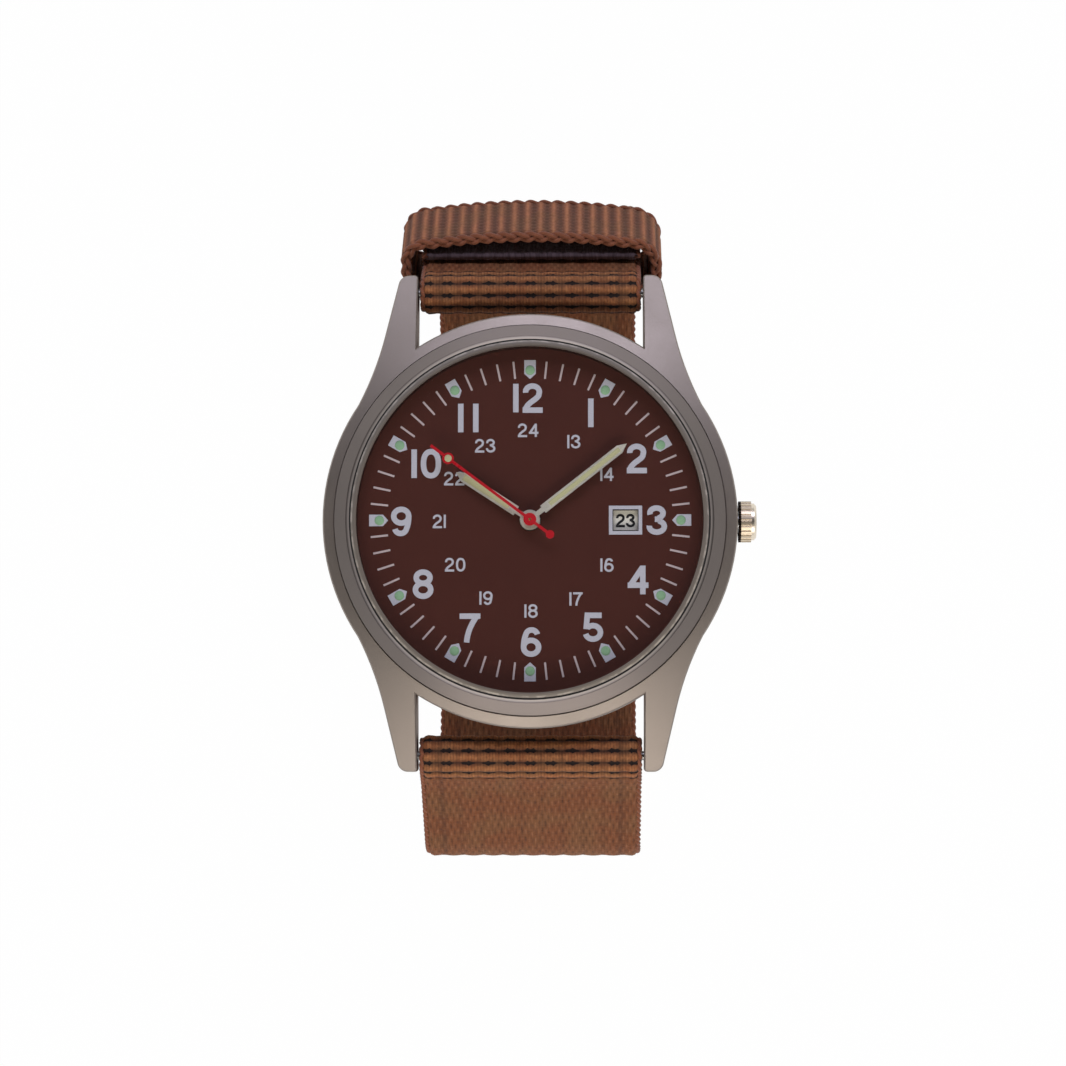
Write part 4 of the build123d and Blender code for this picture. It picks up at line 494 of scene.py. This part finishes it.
def shoulder(side, lift):
    """Corner (y, z) where the arm's line, offset by lift, meets the upright's, which leans in by
    0.5 mm on the 12 side."""
    out = loop_half + lift - (0.5 if side > 0 else 0.0)
    reach = (out - bar_y - lift * sin(strap_angle)) / cos(strap_angle)
    return (side * out, bar_z - reach * sin(strap_angle) + lift * cos(strap_angle))


def foot(side, lift):
    """Corner (y, z) where the upright's line, offset by lift, meets the bottom's."""
    return (side * (loop_half + lift), loop_low_z - lift)


def to_strap(plane, across):
    """Points (across, y, z) of the strap's plane line at distances across it."""
    return np.stack([across, plane[..., 0], plane[..., 1]], -1)


def woven_band(
    name, line, closed, width, thick, place, material, body, spread, sealed, columns, crest, holes=()
):
    """A woven band carried along a plane line. Its section is a flat bar with half-round edges; its
    faces sink by rib_depth in the hollows between ribs, which follow a cosine of the length gone to
    the power of crest, by columns between warp columns, which follow a cosine across the band, and by
    sealed_depth where the end is sealed. Each hole is an ellipse (length gone, distance across, half
    size along, half size across) round which the grid is drawn aside; its wall joins the two faces.
    Place turns a plane point and a distance across into space."""
    gone, normal = sides_of(line, closed)
    half, flat, rim = thick / 2, 52, 4
    # Length gone along whichever face is the longer, so that ribs keep their pitch round a bend
    faces_gone = [np.linalg.norm(np.diff(line + normal * side, axis=0), axis=1) for side in (half, -half)]
    face_gone = np.concatenate([[0], np.cumsum(np.maximum(*faces_gone))])
    edge = width / 2 - half
    v_top = np.linspace(-edge, edge, flat + 1)
    turn = np.linspace(pi / 2, -pi / 2, rim + 2)[1:-1]
    v = np.concatenate([v_top, edge + half * np.cos(turn), v_top[::-1], -edge - half * np.cos(turn)])
    n = np.concatenate([np.ones(flat + 1), np.sin(turn), -np.ones(flat + 1), -np.sin(turn)])
    stations = len(line) - 1 if closed else len(line)
    u2, v2 = np.meshgrid(gone[:stations], v, indexing="ij")
    mid_u = (u2[:-1, :flat] + u2[1:, :flat]) / 2
    mid_v = (v_top[:-1] + v_top[1:])[None] / 2
    cut = np.zeros(mid_u.shape, bool)
    warped_u, warped_v = u2.copy(), v2.copy()
    # A hole's grid is cut inside its core and pushed out to the rim, less and less up to the calm part
    core, pushed_core, calm = 0.5, 0.575, 2.2
    for hole_u, hole_v, along, across in holes:
        cut |= ((mid_u - hole_u) / along) ** 2 + ((mid_v - hole_v) / across) ** 2 < core**2
        du, dv = (u2 - hole_u) / along, (v2 - hole_v) / across
        far = np.hypot(du, dv) + 1e-9
        inside = far < calm
        new = np.maximum(1, 1 + (far - pushed_core) * (calm - 1) / (calm - pushed_core))
        warped_u[inside] = (hole_u + along * du * new / far)[inside]
        warped_v[inside] = (hole_v + across * dv * new / far)[inside]
    face_u = np.interp(warped_u, gone, face_gone)
    rib = np.abs(np.cos(pi * face_u / rib_pitch)) ** crest
    lane = np.abs(np.cos(pi * warped_v / column_pitch))
    open_ribs = np.interp(warped_u, gone, spread)
    pressed = np.interp(warped_u, gone, sealed)
    sink = rib_depth * (1 - rib) * open_ribs + columns * (1 - lane) + sealed_depth * pressed
    edge_jag = edge_jag_depth * np.abs(np.sin(pi * warped_u / rib_pitch)) * (np.abs(warped_v) > edge)
    warped_v = warped_v - np.sign(warped_v) * edge_jag
    out = n[None] * (half - sink * np.abs(n[None]))
    plane = np.stack([np.interp(warped_u, gone, line[:, c]) for c in (0, 1)], -1)
    side = np.stack([np.interp(warped_u, gone, normal[:, c]) for c in (0, 1)], -1)
    corners = place(plane + side * out[..., None], warped_v)
    k = len(v)
    quads = grid_faces(stations, k, closed, True)
    keep = np.ones(len(quads), bool)
    # Cut quads go from both faces, and each of their sides that meets an uncut one gets a wall
    rows, cols = np.nonzero(cut)
    mirror = 2 * flat + 1 + rim
    keep[rows * k + cols] = False
    keep[rows * k + mirror - 1 - cols] = False
    faces = [quads[keep]]
    padded = np.pad(cut, 1)
    for step_i, step_j, a, b in (
        (-1, 0, (0, 0), (0, 1)), (1, 0, (1, 1), (1, 0)), (0, -1, (1, 0), (0, 0)), (0, 1, (0, 1), (1, 1))
    ):
        open_side = ~padded[rows + 1 + step_i, cols + 1 + step_j]
        r, c = rows[open_side], cols[open_side]
        top_a, top_b = (r + a[0]) * k + c + a[1], (r + b[0]) * k + c + b[1]
        low_a, low_b = (r + a[0]) * k + mirror - c - a[1], (r + b[0]) * k + mirror - c - b[1]
        faces.append(np.stack([top_a, top_b, low_b, low_a], -1))
    if not closed:
        faces.append(np.arange(k)[None])
        faces.append(((stations - 1) * k + np.arange(k))[None, ::-1])
    piece = make_mesh(name, corners, faces, material, body, outward=True)
    write_weave(piece, face_u, warped_v, open_ribs, pressed)
    if holes:
        shape = bmesh.new()
        shape.from_mesh(piece.data)
        bmesh.ops.delete(shape, geom=[x for x in shape.verts if not x.link_faces], context="VERTS")
        shape.to_mesh(piece.data)
        shape.free()
    return piece


def write_weave(piece, along, across, spread, sealed):
    """Gives a band its weave map, in millimetres along and across, and how open and how sealed it is."""
    mesh = piece.data
    at = np.zeros(len(mesh.loops), np.int32)
    mesh.loops.foreach_get("vertex_index", at)
    weave = mesh.uv_layers.new(name="weave")
    weave.data.foreach_set("uv", np.stack([along.flat[at], across.flat[at]], -1).ravel())
    for key, value in (("spread", spread), ("sealed", sealed)):
        mesh.attributes.new(key, "FLOAT", "POINT").data.foreach_set("value", value.astype("f").ravel())


def edge_cords(
    name, line, closed, width, place, material, body, twist=0.11, strand=0.2, pitch=1.5, step=0.2, count=2
):
    """Strands along each edge of a band, their sections circles of radius strand. Two are twisted: a
    strand's centre circles the edge line at a radius of twist once in each pitch. Three are plaited:
    it swings by twist through the band's thickness once in each pitch, and by six tenths of that
    along the band's width twice."""
    line = even_points(line, step)
    gone, normal = sides_of(line, closed)
    if closed:
        pitch = gone[-1] / round(gone[-1] / pitch)
    stations = len(line) - 1 if closed else len(line)
    ring = np.linspace(0, 2 * pi, 8, endpoint=False)
    corners, faces, first = [], [], 0
    for side in (-1, 1):
        for start in range(count):
            turn = (2 * pi * (gone[:stations] / pitch + start / count))[:, None]
            swing, sway = (twist, np.cos(turn)) if count == 2 else (0.6 * twist, np.sin(2 * turn))
            out = twist * np.sin(turn) + strand * np.sin(ring)[None]
            over = side * (width / 2 - swing - strand) + swing * sway + strand * np.cos(ring)[None]
            plane = line[:stations, None] + normal[:stations, None] * out[..., None]
            corners.append(place(plane, over))
            faces.append(grid_faces(stations, len(ring), closed, True) + first)
            if not closed:
                faces.append((first + np.arange(len(ring)))[None])
                faces.append((first + (stations - 1) * len(ring) + np.arange(len(ring)))[None, ::-1])
            first += stations * len(ring)
    return make_mesh(name, np.concatenate(corners), faces, material, body, outward=True)


def place_on(line, spot):
    """Length gone along a line at its point nearest to a spot."""
    return sides_of(line, False)[0][np.linalg.norm(line - np.array(spot), axis=1).argmin()]


def near(line, point, reach):
    """1 at points of the line near a point, falling over the last 0.3 mm to 0 at a distance of reach."""
    away = np.linalg.norm(line - np.array(point), axis=1)
    return np.clip((reach - away) / 0.3, 0, 1)


def folded_end(side, step):
    """Line of a strap's folded end under the arm and of its wrap, half a circle round the spring bar."""
    under = [on_arm(side, fold_reach, -layer), on_arm(side, wrap_reach, -wrap_layer)]
    fold = rounded_line([*under, on_arm(side, 0, -wrap_line)], [6], step)
    turns = np.radians(np.linspace(180, 0, 40))[1:-1]
    return np.vstack([fold, [on_arm(side, -wrap_line * sin(t), wrap_line * cos(t)) for t in turns]])


def loop_start(side):
    """Corners of a strap's line from its spring bar along the arm and down the loop's side."""
    return [
        on_arm(side, 0, wrap_line), on_arm(side, wrap_reach, wrap_layer), shoulder(side, layer),
        foot(side, layer),
    ]


# Points of a strap's line stand a fine step apart within this distance of a spring bar
bar_zone, fine_step = 5.0, 0.1
# The wraps' ribs open up within this distance of a spring bar's and of the buckle bar's middle
bar_open, buckle_open = 1.74, 3.0

# Strap, 12 o'clock half: folded end under the arm, round the spring bar, out along the loop, round
# the buckle's bar and back inside
by_buckle = 3.4
run_12 = rounded_line(
    [*loop_start(1), (by_buckle, loop_low_z - wrap_layer), (buckle_bar_y, loop_low_z - wrap_line)],
    [6, 9.0, 17.55, 4],
    0.18,
)
turn = np.radians(np.linspace(-90, -270, 40))
buckle_turn = np.stack([buckle_bar_y + wrap_line * np.cos(turn), loop_low_z + wrap_line * np.sin(turn)], -1)
back_12 = rounded_line(
    [
        (buckle_bar_y, loop_low_z + wrap_line), (by_buckle, loop_low_z + wrap_layer),
        (fold_reach, loop_low_z + layer),
    ],
    [4],
    0.18,
)
line_12 = graded_points(
    np.vstack([folded_end(1, 0.18), run_12, buckle_turn[1:-1], back_12]),
    (bar_y, bar_z), bar_zone, fine_step, 0.2,
)
open_12 = np.maximum(
    near(line_12, (bar_y, bar_z), bar_open), near(line_12, (buckle_bar_y, loop_low_z), buckle_open)
)
slot_at = place_on(line_12, (buckle_bar_y - wrap_line, loop_low_z))
band_12 = woven_band(
    "strap_band_12", line_12, False, strap_width - 0.5, webbing, to_strap, strap_cloth, "case",
    open_12, np.zeros(len(line_12)), 0.1, 0.5, [(slot_at, 0.0, 1.9, 1.3)],
)
cords_12 = edge_cords("strap_edge_12", line_12, False, strap_width, to_strap, cord_yarn, "case")
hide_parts("strap_12")
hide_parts("strap_12")

# Strap, 6 o'clock half: folded end, round the spring bar, the loop's other side, over the buckle's
# bar and up outside the first half to its sealed tip
over_bar = 2.55
run_6 = rounded_line(
    [
        *loop_start(-1), (-8.0, loop_low_z - layer), (-0.8, loop_low_z - over_bar),
        (2.2, loop_low_z - over_bar), (4.6, loop_low_z - tail_layer), foot(1, tail_layer),
        shoulder(1, tail_layer), on_arm(1, 3.7, tail_layer),
    ],
    [6, 6.55, 17.55, 8, 4, 4, 4, 18.8, 10.25],
    0.2,
)
line_6 = graded_points(
    np.vstack([folded_end(-1, 0.2), run_6]), (-bar_y, bar_z), bar_zone, fine_step, 0.22
)
tip = np.linalg.norm(line_6 - line_6[-1], axis=1)
sealed_6 = np.clip((3.2 - tip) / 1.0, 0, 1)
open_6 = near(line_6, (-bar_y, bar_z), bar_open)
spots = [(y, z) for y in (-loop_half - layer, loop_half + tail_layer) for z in hole_levels]
holes_6 = [(place_on(line_6, spot), 0.0, 1.0, 1.0) for spot in spots]
holes_6.append((place_on(line_6, (-4.0, loop_low_z - 1.66)), 0.0, 1.75, 1.2))
band_6 = woven_band(
    "strap_band_6", line_6, False, strap_width - 0.5, webbing, to_strap, strap_cloth, "case",
    open_6, sealed_6, 0.1, 0.5, holes_6,
)
cords_6 = edge_cords("strap_edge_6", line_6, False, strap_width, to_strap, cord_yarn, "case")
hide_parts("strap_6")
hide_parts("strap_6")


def keeper_line(arch):
    """Closed line (across, lift) of a keeper: a rounded box whose top rises as a parabola, by arch in
    the middle."""
    half, low, high, arch_foot, arch_half = 11.45, -1.8, 3.05, 0.6, 9.2
    box = [(-half, low), (half, low), (half, high), (-half, high)]
    line = rounded_line(box, [1.9, 1.9, 1.9, 2.3], 0.2, True)
    share = np.clip((line[:, 1] - arch_foot) / (high - arch_foot), 0, 1)
    rise = arch * share * np.maximum(0, 1 - (line[:, 0] / arch_half) ** 2)
    return even_points(line + np.stack([0 * rise, rise], -1), 0.15)


def to_floating(plane, along):
    """Space points of the floating keeper: along the arm from its middle."""
    return np.stack(
        [-plane[..., 0], *on_arm(1, keeper_start + keeper_width / 2 + along, plane[..., 1])], -1
    )


def to_fixed(plane, along):
    """Space points of the fixed keeper: along y under the loop."""
    return np.stack([plane[..., 0], fixed_keeper_y + along, loop_low_z - plane[..., 1]], -1)


for label, node, place, body, wide, arch in (
    ("keeper_band_floating", "floating_keeper", to_floating, "keeper", keeper_width, 0.7),
    ("keeper_band_fixed", "fixed_keeper", to_fixed, "case", fixed_keeper_width, 0.0),
):
    ring_line = keeper_line(arch)
    band = woven_band(
        label, ring_line, True, wide - 0.7, 1.0, place, keeper_cloth, body,
        np.full(len(ring_line), 0.8), np.zeros(len(ring_line)), 0.0, 1.9,
    )
    cords = edge_cords(
        label + "_edge", ring_line, True, wide, place, cord_yarn, body, 0.31, 0.22, 3 * rib_pitch, 0.16, 3
    )
    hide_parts(node)
    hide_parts(node)


def bend(points, count=14):
    """A cubic Bezier curve, as count points, from the first to the last of four that shape it."""
    t = np.linspace(0, 1, count)[:, None]
    p = np.array(points, float)
    return (1 - t) ** 3 * p[0] + 3 * (1 - t) ** 2 * t * p[1] + 3 * (1 - t) * t**2 * p[2] + t**3 * p[3]


def arc(x, y, across, up, start, end, count=26, square=2.0):
    """Points of an oval from one angle to another, in degrees; a square above 2 fills its corners."""
    t = np.radians(np.linspace(start, end, count))
    c, s = np.cos(t), np.sin(t)
    c, s = np.sign(c) * np.abs(c) ** (2 / square), np.sign(s) * np.abs(s) ** (2 / square)
    return np.stack([x + across * c, y + up * s], -1)


def digit_strokes(digit, w):
    """A digit's strokes in a box 1 high and 0.7 wide: centre lines for a pen w wide."""
    h = w / 2
    if digit == "0":
        return [arc(0.35, 0.5, 0.345 - h, 0.5 - h, 0, 360, 48, 2.3)]
    if digit == "1":
        return [np.array([(h, 0.015), (h, 0.985)])]
    if digit == "2":
        bowl = arc(0.345, 0.71, 0.325 - h, 0.29 - h, 188, -22)
        tail = bend([bowl[-1], (0.57, 0.46), (0.17, 0.38), (0.105, 0.1)])
        return [np.vstack([bowl, tail[1:]]), np.array([(0.012, h * 0.95), (0.69, h * 0.95)])]
    if digit == "3":
        top = arc(0.335, 0.735, 0.315 - h, 0.265 - h, 196, -62)
        top = np.vstack([top, bend([top[-1], (0.43, 0.535), (0.38, 0.53), (0.28, 0.53)], 8)[1:]])
        low = arc(0.345, 0.285, 0.345 - h, 0.285 - h, -188, 62, 28)
        low = np.vstack([low, bend([low[-1], (0.46, 0.52), (0.4, 0.53), (0.28, 0.53)], 8)[1:]])
        return [top, low]
    if digit == "4":
        stem = np.array([(0.51, 0.015), (0.51, 0.985)])
        bar = np.array([(0.0, 0.245 + h * 0.85), (0.7, 0.245 + h * 0.85)])
        return [stem, bar, np.array([(0.075, 0.3), (0.49, 0.915)])]
    if digit == "5":
        bar = np.array([(0.1, 0.985 - h), (0.64, 0.985 - h)])
        stem = np.array([(0.165, 0.985), (0.115, 0.43)])
        return [bar, stem, arc(0.345, 0.32, 0.345 - h, 0.32 - h, 140, -166, 30)]
    if digit in "69":
        ring = arc(0.352, 0.325, 0.345 - h, 0.325 - h, 0, 360, 44)
        crest = arc(0.37, 0.72, 0.29 - h, 0.28 - h, 12, 172, 18)
        flank = bend([crest[-1], (0.12, 0.62), (h + 0.01, 0.5), (h + 0.008, 0.3)], 12)
        lines = [ring, np.vstack([crest, flank[1:]])]
        return lines if digit == "6" else [np.array([0.7, 1.0]) - some for some in lines]
    if digit == "7":
        bar = np.array([(0.0, 0.985 - h * 0.9), (0.7, 0.985 - h * 0.9)])
        return [bar, bend([(0.6, 0.93), (0.42, 0.68), (0.27, 0.4), (0.235, 0.015)], 16)]
    waist = 0.53
    upper = arc(0.35, (1 - h + waist) / 2, 0.325 - h, (1 - h - waist) / 2, 0, 360, 44)
    lower = arc(0.35, (h + waist) / 2, 0.35 - h, (waist - h) / 2, 0, 360, 44)
    return [upper, lower]


def pen_line(line, w):
    """A stroke w wide along a centre line, as left and right points: each point moves out along its
    normal, and by more at a corner, so that the stroke keeps its width."""
    closed = np.allclose(line[0], line[-1])
    step = np.diff(line, axis=0)
    step /= np.linalg.norm(step, axis=1)[:, None]
    before = np.vstack([step[-1:] if closed else step[:1], step])
    after = np.vstack([step, step[:1] if closed else step[-1:]])
    mean = before + after
    mean /= np.linalg.norm(mean, axis=1)[:, None]
    grow = 1 / np.maximum(0.5, (mean * after).sum(1))
    aside = np.stack([-mean[:, 1], mean[:, 0]], -1) * (grow * w / 2)[:, None]
    return line + aside, line - aside


def ink_ribbon(left, right, low, high):
    """Corners and quads of a printed stroke: a top between its two edges, and walls down to low."""
    n = len(left)
    edges = ((left, high), (right, high), (left, low), (right, low))
    corners = np.concatenate([np.column_stack([p, np.full(n, z)]) for p, z in edges])
    i = np.arange(n - 1)[:, None]
    runs = ((0, n), (2 * n, 0), (n, 3 * n), (3 * n, 2 * n))
    quads = [i + np.array([a, b, b + 1, a + 1]) for a, b in runs]
    if not np.allclose(left[0], left[-1]):
        quads.append(np.array([[0, 2 * n, 3 * n, n], [n - 1, 2 * n - 1, 4 * n - 1, 3 * n - 1]]))
    return corners, np.vstack(quads)


class Print:
    """Collects printed strokes and makes them one thin mesh, from just over its ground up to thick."""

    def __init__(self, ground, thick):
        self.low, self.high, self.corners, self.quads, self.count = ground + 0.001, ground + thick, [], [], 0

    def stroke(self, left, right):
        """Adds a stroke, in one of four heights so that strokes that cross don't share a plane."""
        lift = 0.0015 * (len(self.quads) % 4)
        corners, quads = ink_ribbon(left, right, self.low, self.high + lift)
        self.corners.append(corners)
        self.quads.append(quads + self.count)
        self.count += len(corners)

    def number(self, text, x, y, height, pen, gap_shade, turn=0.0):
        """Writes a number centred at (x, y), turned by an angle in degrees."""
        wide = [pen if d == "1" else 0.7 * height for d in text]
        start = -(sum(wide) + gap_shade * (len(text) - 1)) / 2
        c, s = cos(radians(turn)), sin(radians(turn))
        for d, size in zip(text, wide):
            for line in digit_strokes(d, pen / height):
                at = line * height + np.array([start, -height / 2])
                at = at @ np.array([[c, s], [-s, c]]) + np.array([x, y])
                self.stroke(*pen_line(at, pen))
            start += size + gap_shade

    def make(self, name, material, body):
        return make_mesh(
            name, np.concatenate(self.corners), [np.concatenate(self.quads)], material, body, False, True
        )


def dial_place(px, py):
    """Place on the dial, in millimetres, of a point of the photograph taken straight on."""
    return (px - dial_pixel[0]) / pixels_per_mm, (dial_pixel[1] - py) / pixels_per_mm


numerals = Print(dial_top_z, 0.022)
for text, px, py in (
    ("12", 528, 397), ("1", 591, 412), ("2", 637, 458), ("3", 657, 520), ("4", 638, 580), ("5", 593, 627),
    ("6", 531, 642), ("7", 470, 628), ("8", 423, 584), ("9", 401, 521), ("10", 426, 463), ("11", 468, 417),
):
    numerals.number(text, *dial_place(px, py), height=2.64, pen=0.49, gap_shade=0.85 if text == "11" else 0.33)
for text, px, py in (
    ("24", 528, 429.5), ("13", 574, 441), ("14", 607, 474), ("16", 607, 565), ("17", 576, 599),
    ("18", 531, 611), ("19", 486, 598), ("20", 455, 564.5), ("21", 439, 521), ("22", 454, 478),
    ("23", 485, 445),
):
    numerals.number(text, *dial_place(px, py), height=1.22, pen=0.19, gap_shade=0.14)


def on_circle(radius, angle):
    """Point (x, y) at a radius from the middle and a clock angle in degrees."""
    return np.array([radius * cos(radians(90 - angle)), radius * sin(radians(90 - angle))])


def radial(angle, inner, outer, half_in, half_out):
    """Two edges of a mark along a radius at a clock angle, with its half width at each end."""
    middle = np.outer([inner, outer], on_circle(1, angle))
    aside = np.outer([half_in, half_out], on_circle(1, angle - 90))
    return middle + aside, middle - aside


def bars_round(ink, outer, inner):
    """The four bars of a frame between two rectangles, each (left, right, half height)."""
    (x0, x1, top), (x2, x3, side) = outer, inner
    bars = ((x0, x1, side, top), (x0, x1, -top, -side), (x0, x2, -side, side), (x3, x1, -side, side))
    for a, b, low, high in bars:
        ink.stroke(np.array([(a, high), (b, high)]), np.array([(a, low), (b, low)]))


# Minute marks, and five-sided hour marks that point inwards: radii and half widths
minute_mark = (12.72, 14.27, 0.088, 0.088)
marker_tip, marker_waist, marker_end, marker_half = 12.66, 13.11, 14.34, 0.515
minutes = Print(dial_top_z, 0.02)
for minute in range(60):
    if minute % 5:
        minutes.stroke(*radial(6 * minute, *minute_mark))
    else:
        numerals.stroke(*radial(6 * minute, marker_waist, marker_end, marker_half, marker_half))
        numerals.stroke(*radial(6 * minute, marker_tip, marker_waist, 0.02, marker_half))
# Frame round the date window, and a line of painted shade between the frame and the window's
# opening, standing for the window's shaded wall
frame_outer, frame_inner, opening = (7.02, 9.98, 1.29), (7.34, 9.66, 0.97), (7.41, 9.59, 0.89)
bars_round(numerals, frame_outer, frame_inner)
outline = Print(dial_top_z, 0.02)
bars_round(outline, frame_inner, opening)
outline.make("window_wall_shade_line", date_ink, "case")
numerals.make("printed_numerals", numeral_ink, "case")
minutes.make("printed_minutes", minute_ink, "case")

dates = Print(date_ring_top_z, 0.012)
for day in range(1, 32):
    angle = (day - 23) * -360 / 31
    dates.number(str(day), *on_circle(window_x, 90 - angle), height=1.19, pen=0.22, gap_shade=0.07, turn=angle)
dates.make("printed_dates", date_ink, "date")


def dot_cap(x, y, z, radius, height, rings=6, sides=24):
    """A low dome, closed below: the radius and height of its rings go with the sine and the cosine of
    an even turn from its top, so that its section is half an ellipse."""
    share = np.linspace(0, 1, rings)[1:, None]
    turn = np.linspace(0, 2 * pi, sides, endpoint=False)[None]
    r = radius * np.sin(share * pi / 2)
    corners = np.stack(
        [x + r * np.cos(turn), y + r * np.sin(turn), z + height * np.cos(share * pi / 2) + 0 * turn], -1
    ).reshape(-1, 3)
    corners = np.vstack([corners, [[x, y, z + height]]])
    quads = grid_faces(rings - 1, sides, False, True)
    i = np.arange(sides)
    fan = np.stack([np.full(sides, len(corners) - 1), i, (i + 1) % sides], -1)
    foot_ring = ((rings - 2) * sides + i)[None]
    return corners, quads, fan, foot_ring


marker_dot_at = 13.43
dots, dot_faces = [], []
for hour in range(12):
    cap, *faces = dot_cap(*on_circle(marker_dot_at, 30 * hour), numerals.high, radius=0.43, height=0.11)
    dots.append(cap)
    dot_faces += [some + hour * len(cap) for some in faces]
make_mesh("marker_dots", np.concatenate(dots), dot_faces, dot_lume, "case", True, True)

# Luminous dot on the second hand's disc: yellow-green compound in the red ring
second_turn, disc_at, disc_top_z = 306.8, 9.06, 6.651
corners, *faces = dot_cap(*on_circle(disc_at, second_turn), disc_top_z, radius=0.33, height=0.06)
make_mesh("second_hand_dot", corners, faces, finish["lume_paint"], "seconds", True, True)

# Floor under the loop: white to the camera and to mirrors, and it still takes the watch's shadow
reach = 3.0
floor = make_mesh(
    "studio_floor",
    np.array([(-1, -1, 0), (1, -1, 0), (1, 1, 0), (-1, 1, 0)]) * reach / mm + np.array([0, 0, floor_z]),
    [np.array([[0, 1, 2, 3]])], None, None, False,
)
paper, put = new_material("paper_floor_white")
path = put("LightPath")
seen = put("Math:MAXIMUM", path.outputs["Is Camera Ray"], path.outputs["Is Glossy Ray"])
seen = put("Math:MAXIMUM", seen, path.outputs["Is Transmission Ray"])
share = put("Math:MULTIPLY", seen, 0.985)
matt = put("BsdfDiffuse", "#f4f4f4")
glow = put("Emission", (1, 1, 1, 1), 1.0)
put("OutputMaterial", put("MixShader", share, matt, glow))
floor.data.materials.append(paper)


def soft_lamp(name, place, wide, deep, watts, colour):
    """A rectangular soft lamp that faces the origin; its place and sides are in millimetres."""
    lamp = bpy.data.lights.new(name, "AREA")
    lamp.shape, lamp.size, lamp.size_y = "RECTANGLE", wide * mm, deep * mm
    lamp.energy, lamp.color = watts, linear(colour)[:3]
    holder = bpy.data.objects.new(name, lamp)
    scene.collection.objects.link(holder)
    holder.location = Vector(place) * mm
    holder.rotation_euler = (-Vector(place)).to_track_quat("-Z", "Y").to_euler()


soft_lamp("lamp_12_side", (30, 300, 300), wide=380, deep=150, watts=0.85, colour="#ebe9ff")
soft_lamp("lamp_6_side", (12, -320, 250), wide=420, deep=190, watts=0.9, colour="#fff6ec")

world = bpy.data.worlds.new("studio_world")
scene.world = world
world.use_nodes = True
world.node_tree.nodes.clear()
put = partial(add, world.node_tree)
towards = put("SeparateXYZ", put("TexCoord").outputs["Generated"])
# Brighter towards 12 and 6 by the square of y, more so on the 6 side, and less towards 9 and 3 by the
# square of x, with a little more on the crown's side
level = 0.05
for axis, gain in (("X", 0.16), ("Y", 0.45)):
    squared = put("Math:MULTIPLY", towards.outputs[axis], towards.outputs[axis])
    level = put("Math:MULTIPLY_ADD", squared, gain, level)
level = put("Math:MULTIPLY_ADD", put("Math:MINIMUM", towards.outputs["Y"], 0.0), -0.22, level)
level = put("Math:MULTIPLY_ADD", towards.outputs["X"], 0.03, level)
put("OutputWorld", put("Background", "#fbf8f5", level))

# Camera as in the photograph: 300 mm above the dial, tilted 4 degrees towards 6 and 1 towards the
# crown, with a focal length in pixels of the photograph
camera_distance = 300
focal_pixels = 3374
target = Vector((0.27, -1.16, 6.0)) * mm
pitch, yaw = radians(4), radians(1)
back = Vector((sin(yaw), -sin(pitch) * cos(yaw), cos(pitch) * cos(yaw)))
lens = bpy.data.cameras.new("camera")
lens.sensor_width = 36.0
lens.lens = focal_pixels / image_side * lens.sensor_width
lens.clip_start, lens.clip_end = 0.01, 10.0
camera = bpy.data.objects.new("camera", lens)
scene.collection.objects.link(camera)
camera.location = target + back * camera_distance * mm
up = Vector((0, 1, 0))
right = up.cross(back).normalized()
up = back.cross(right)
camera.rotation_euler = Matrix((right, up, back)).transposed().to_euler()
scene.camera = camera

scene.view_settings.view_transform = "Standard"
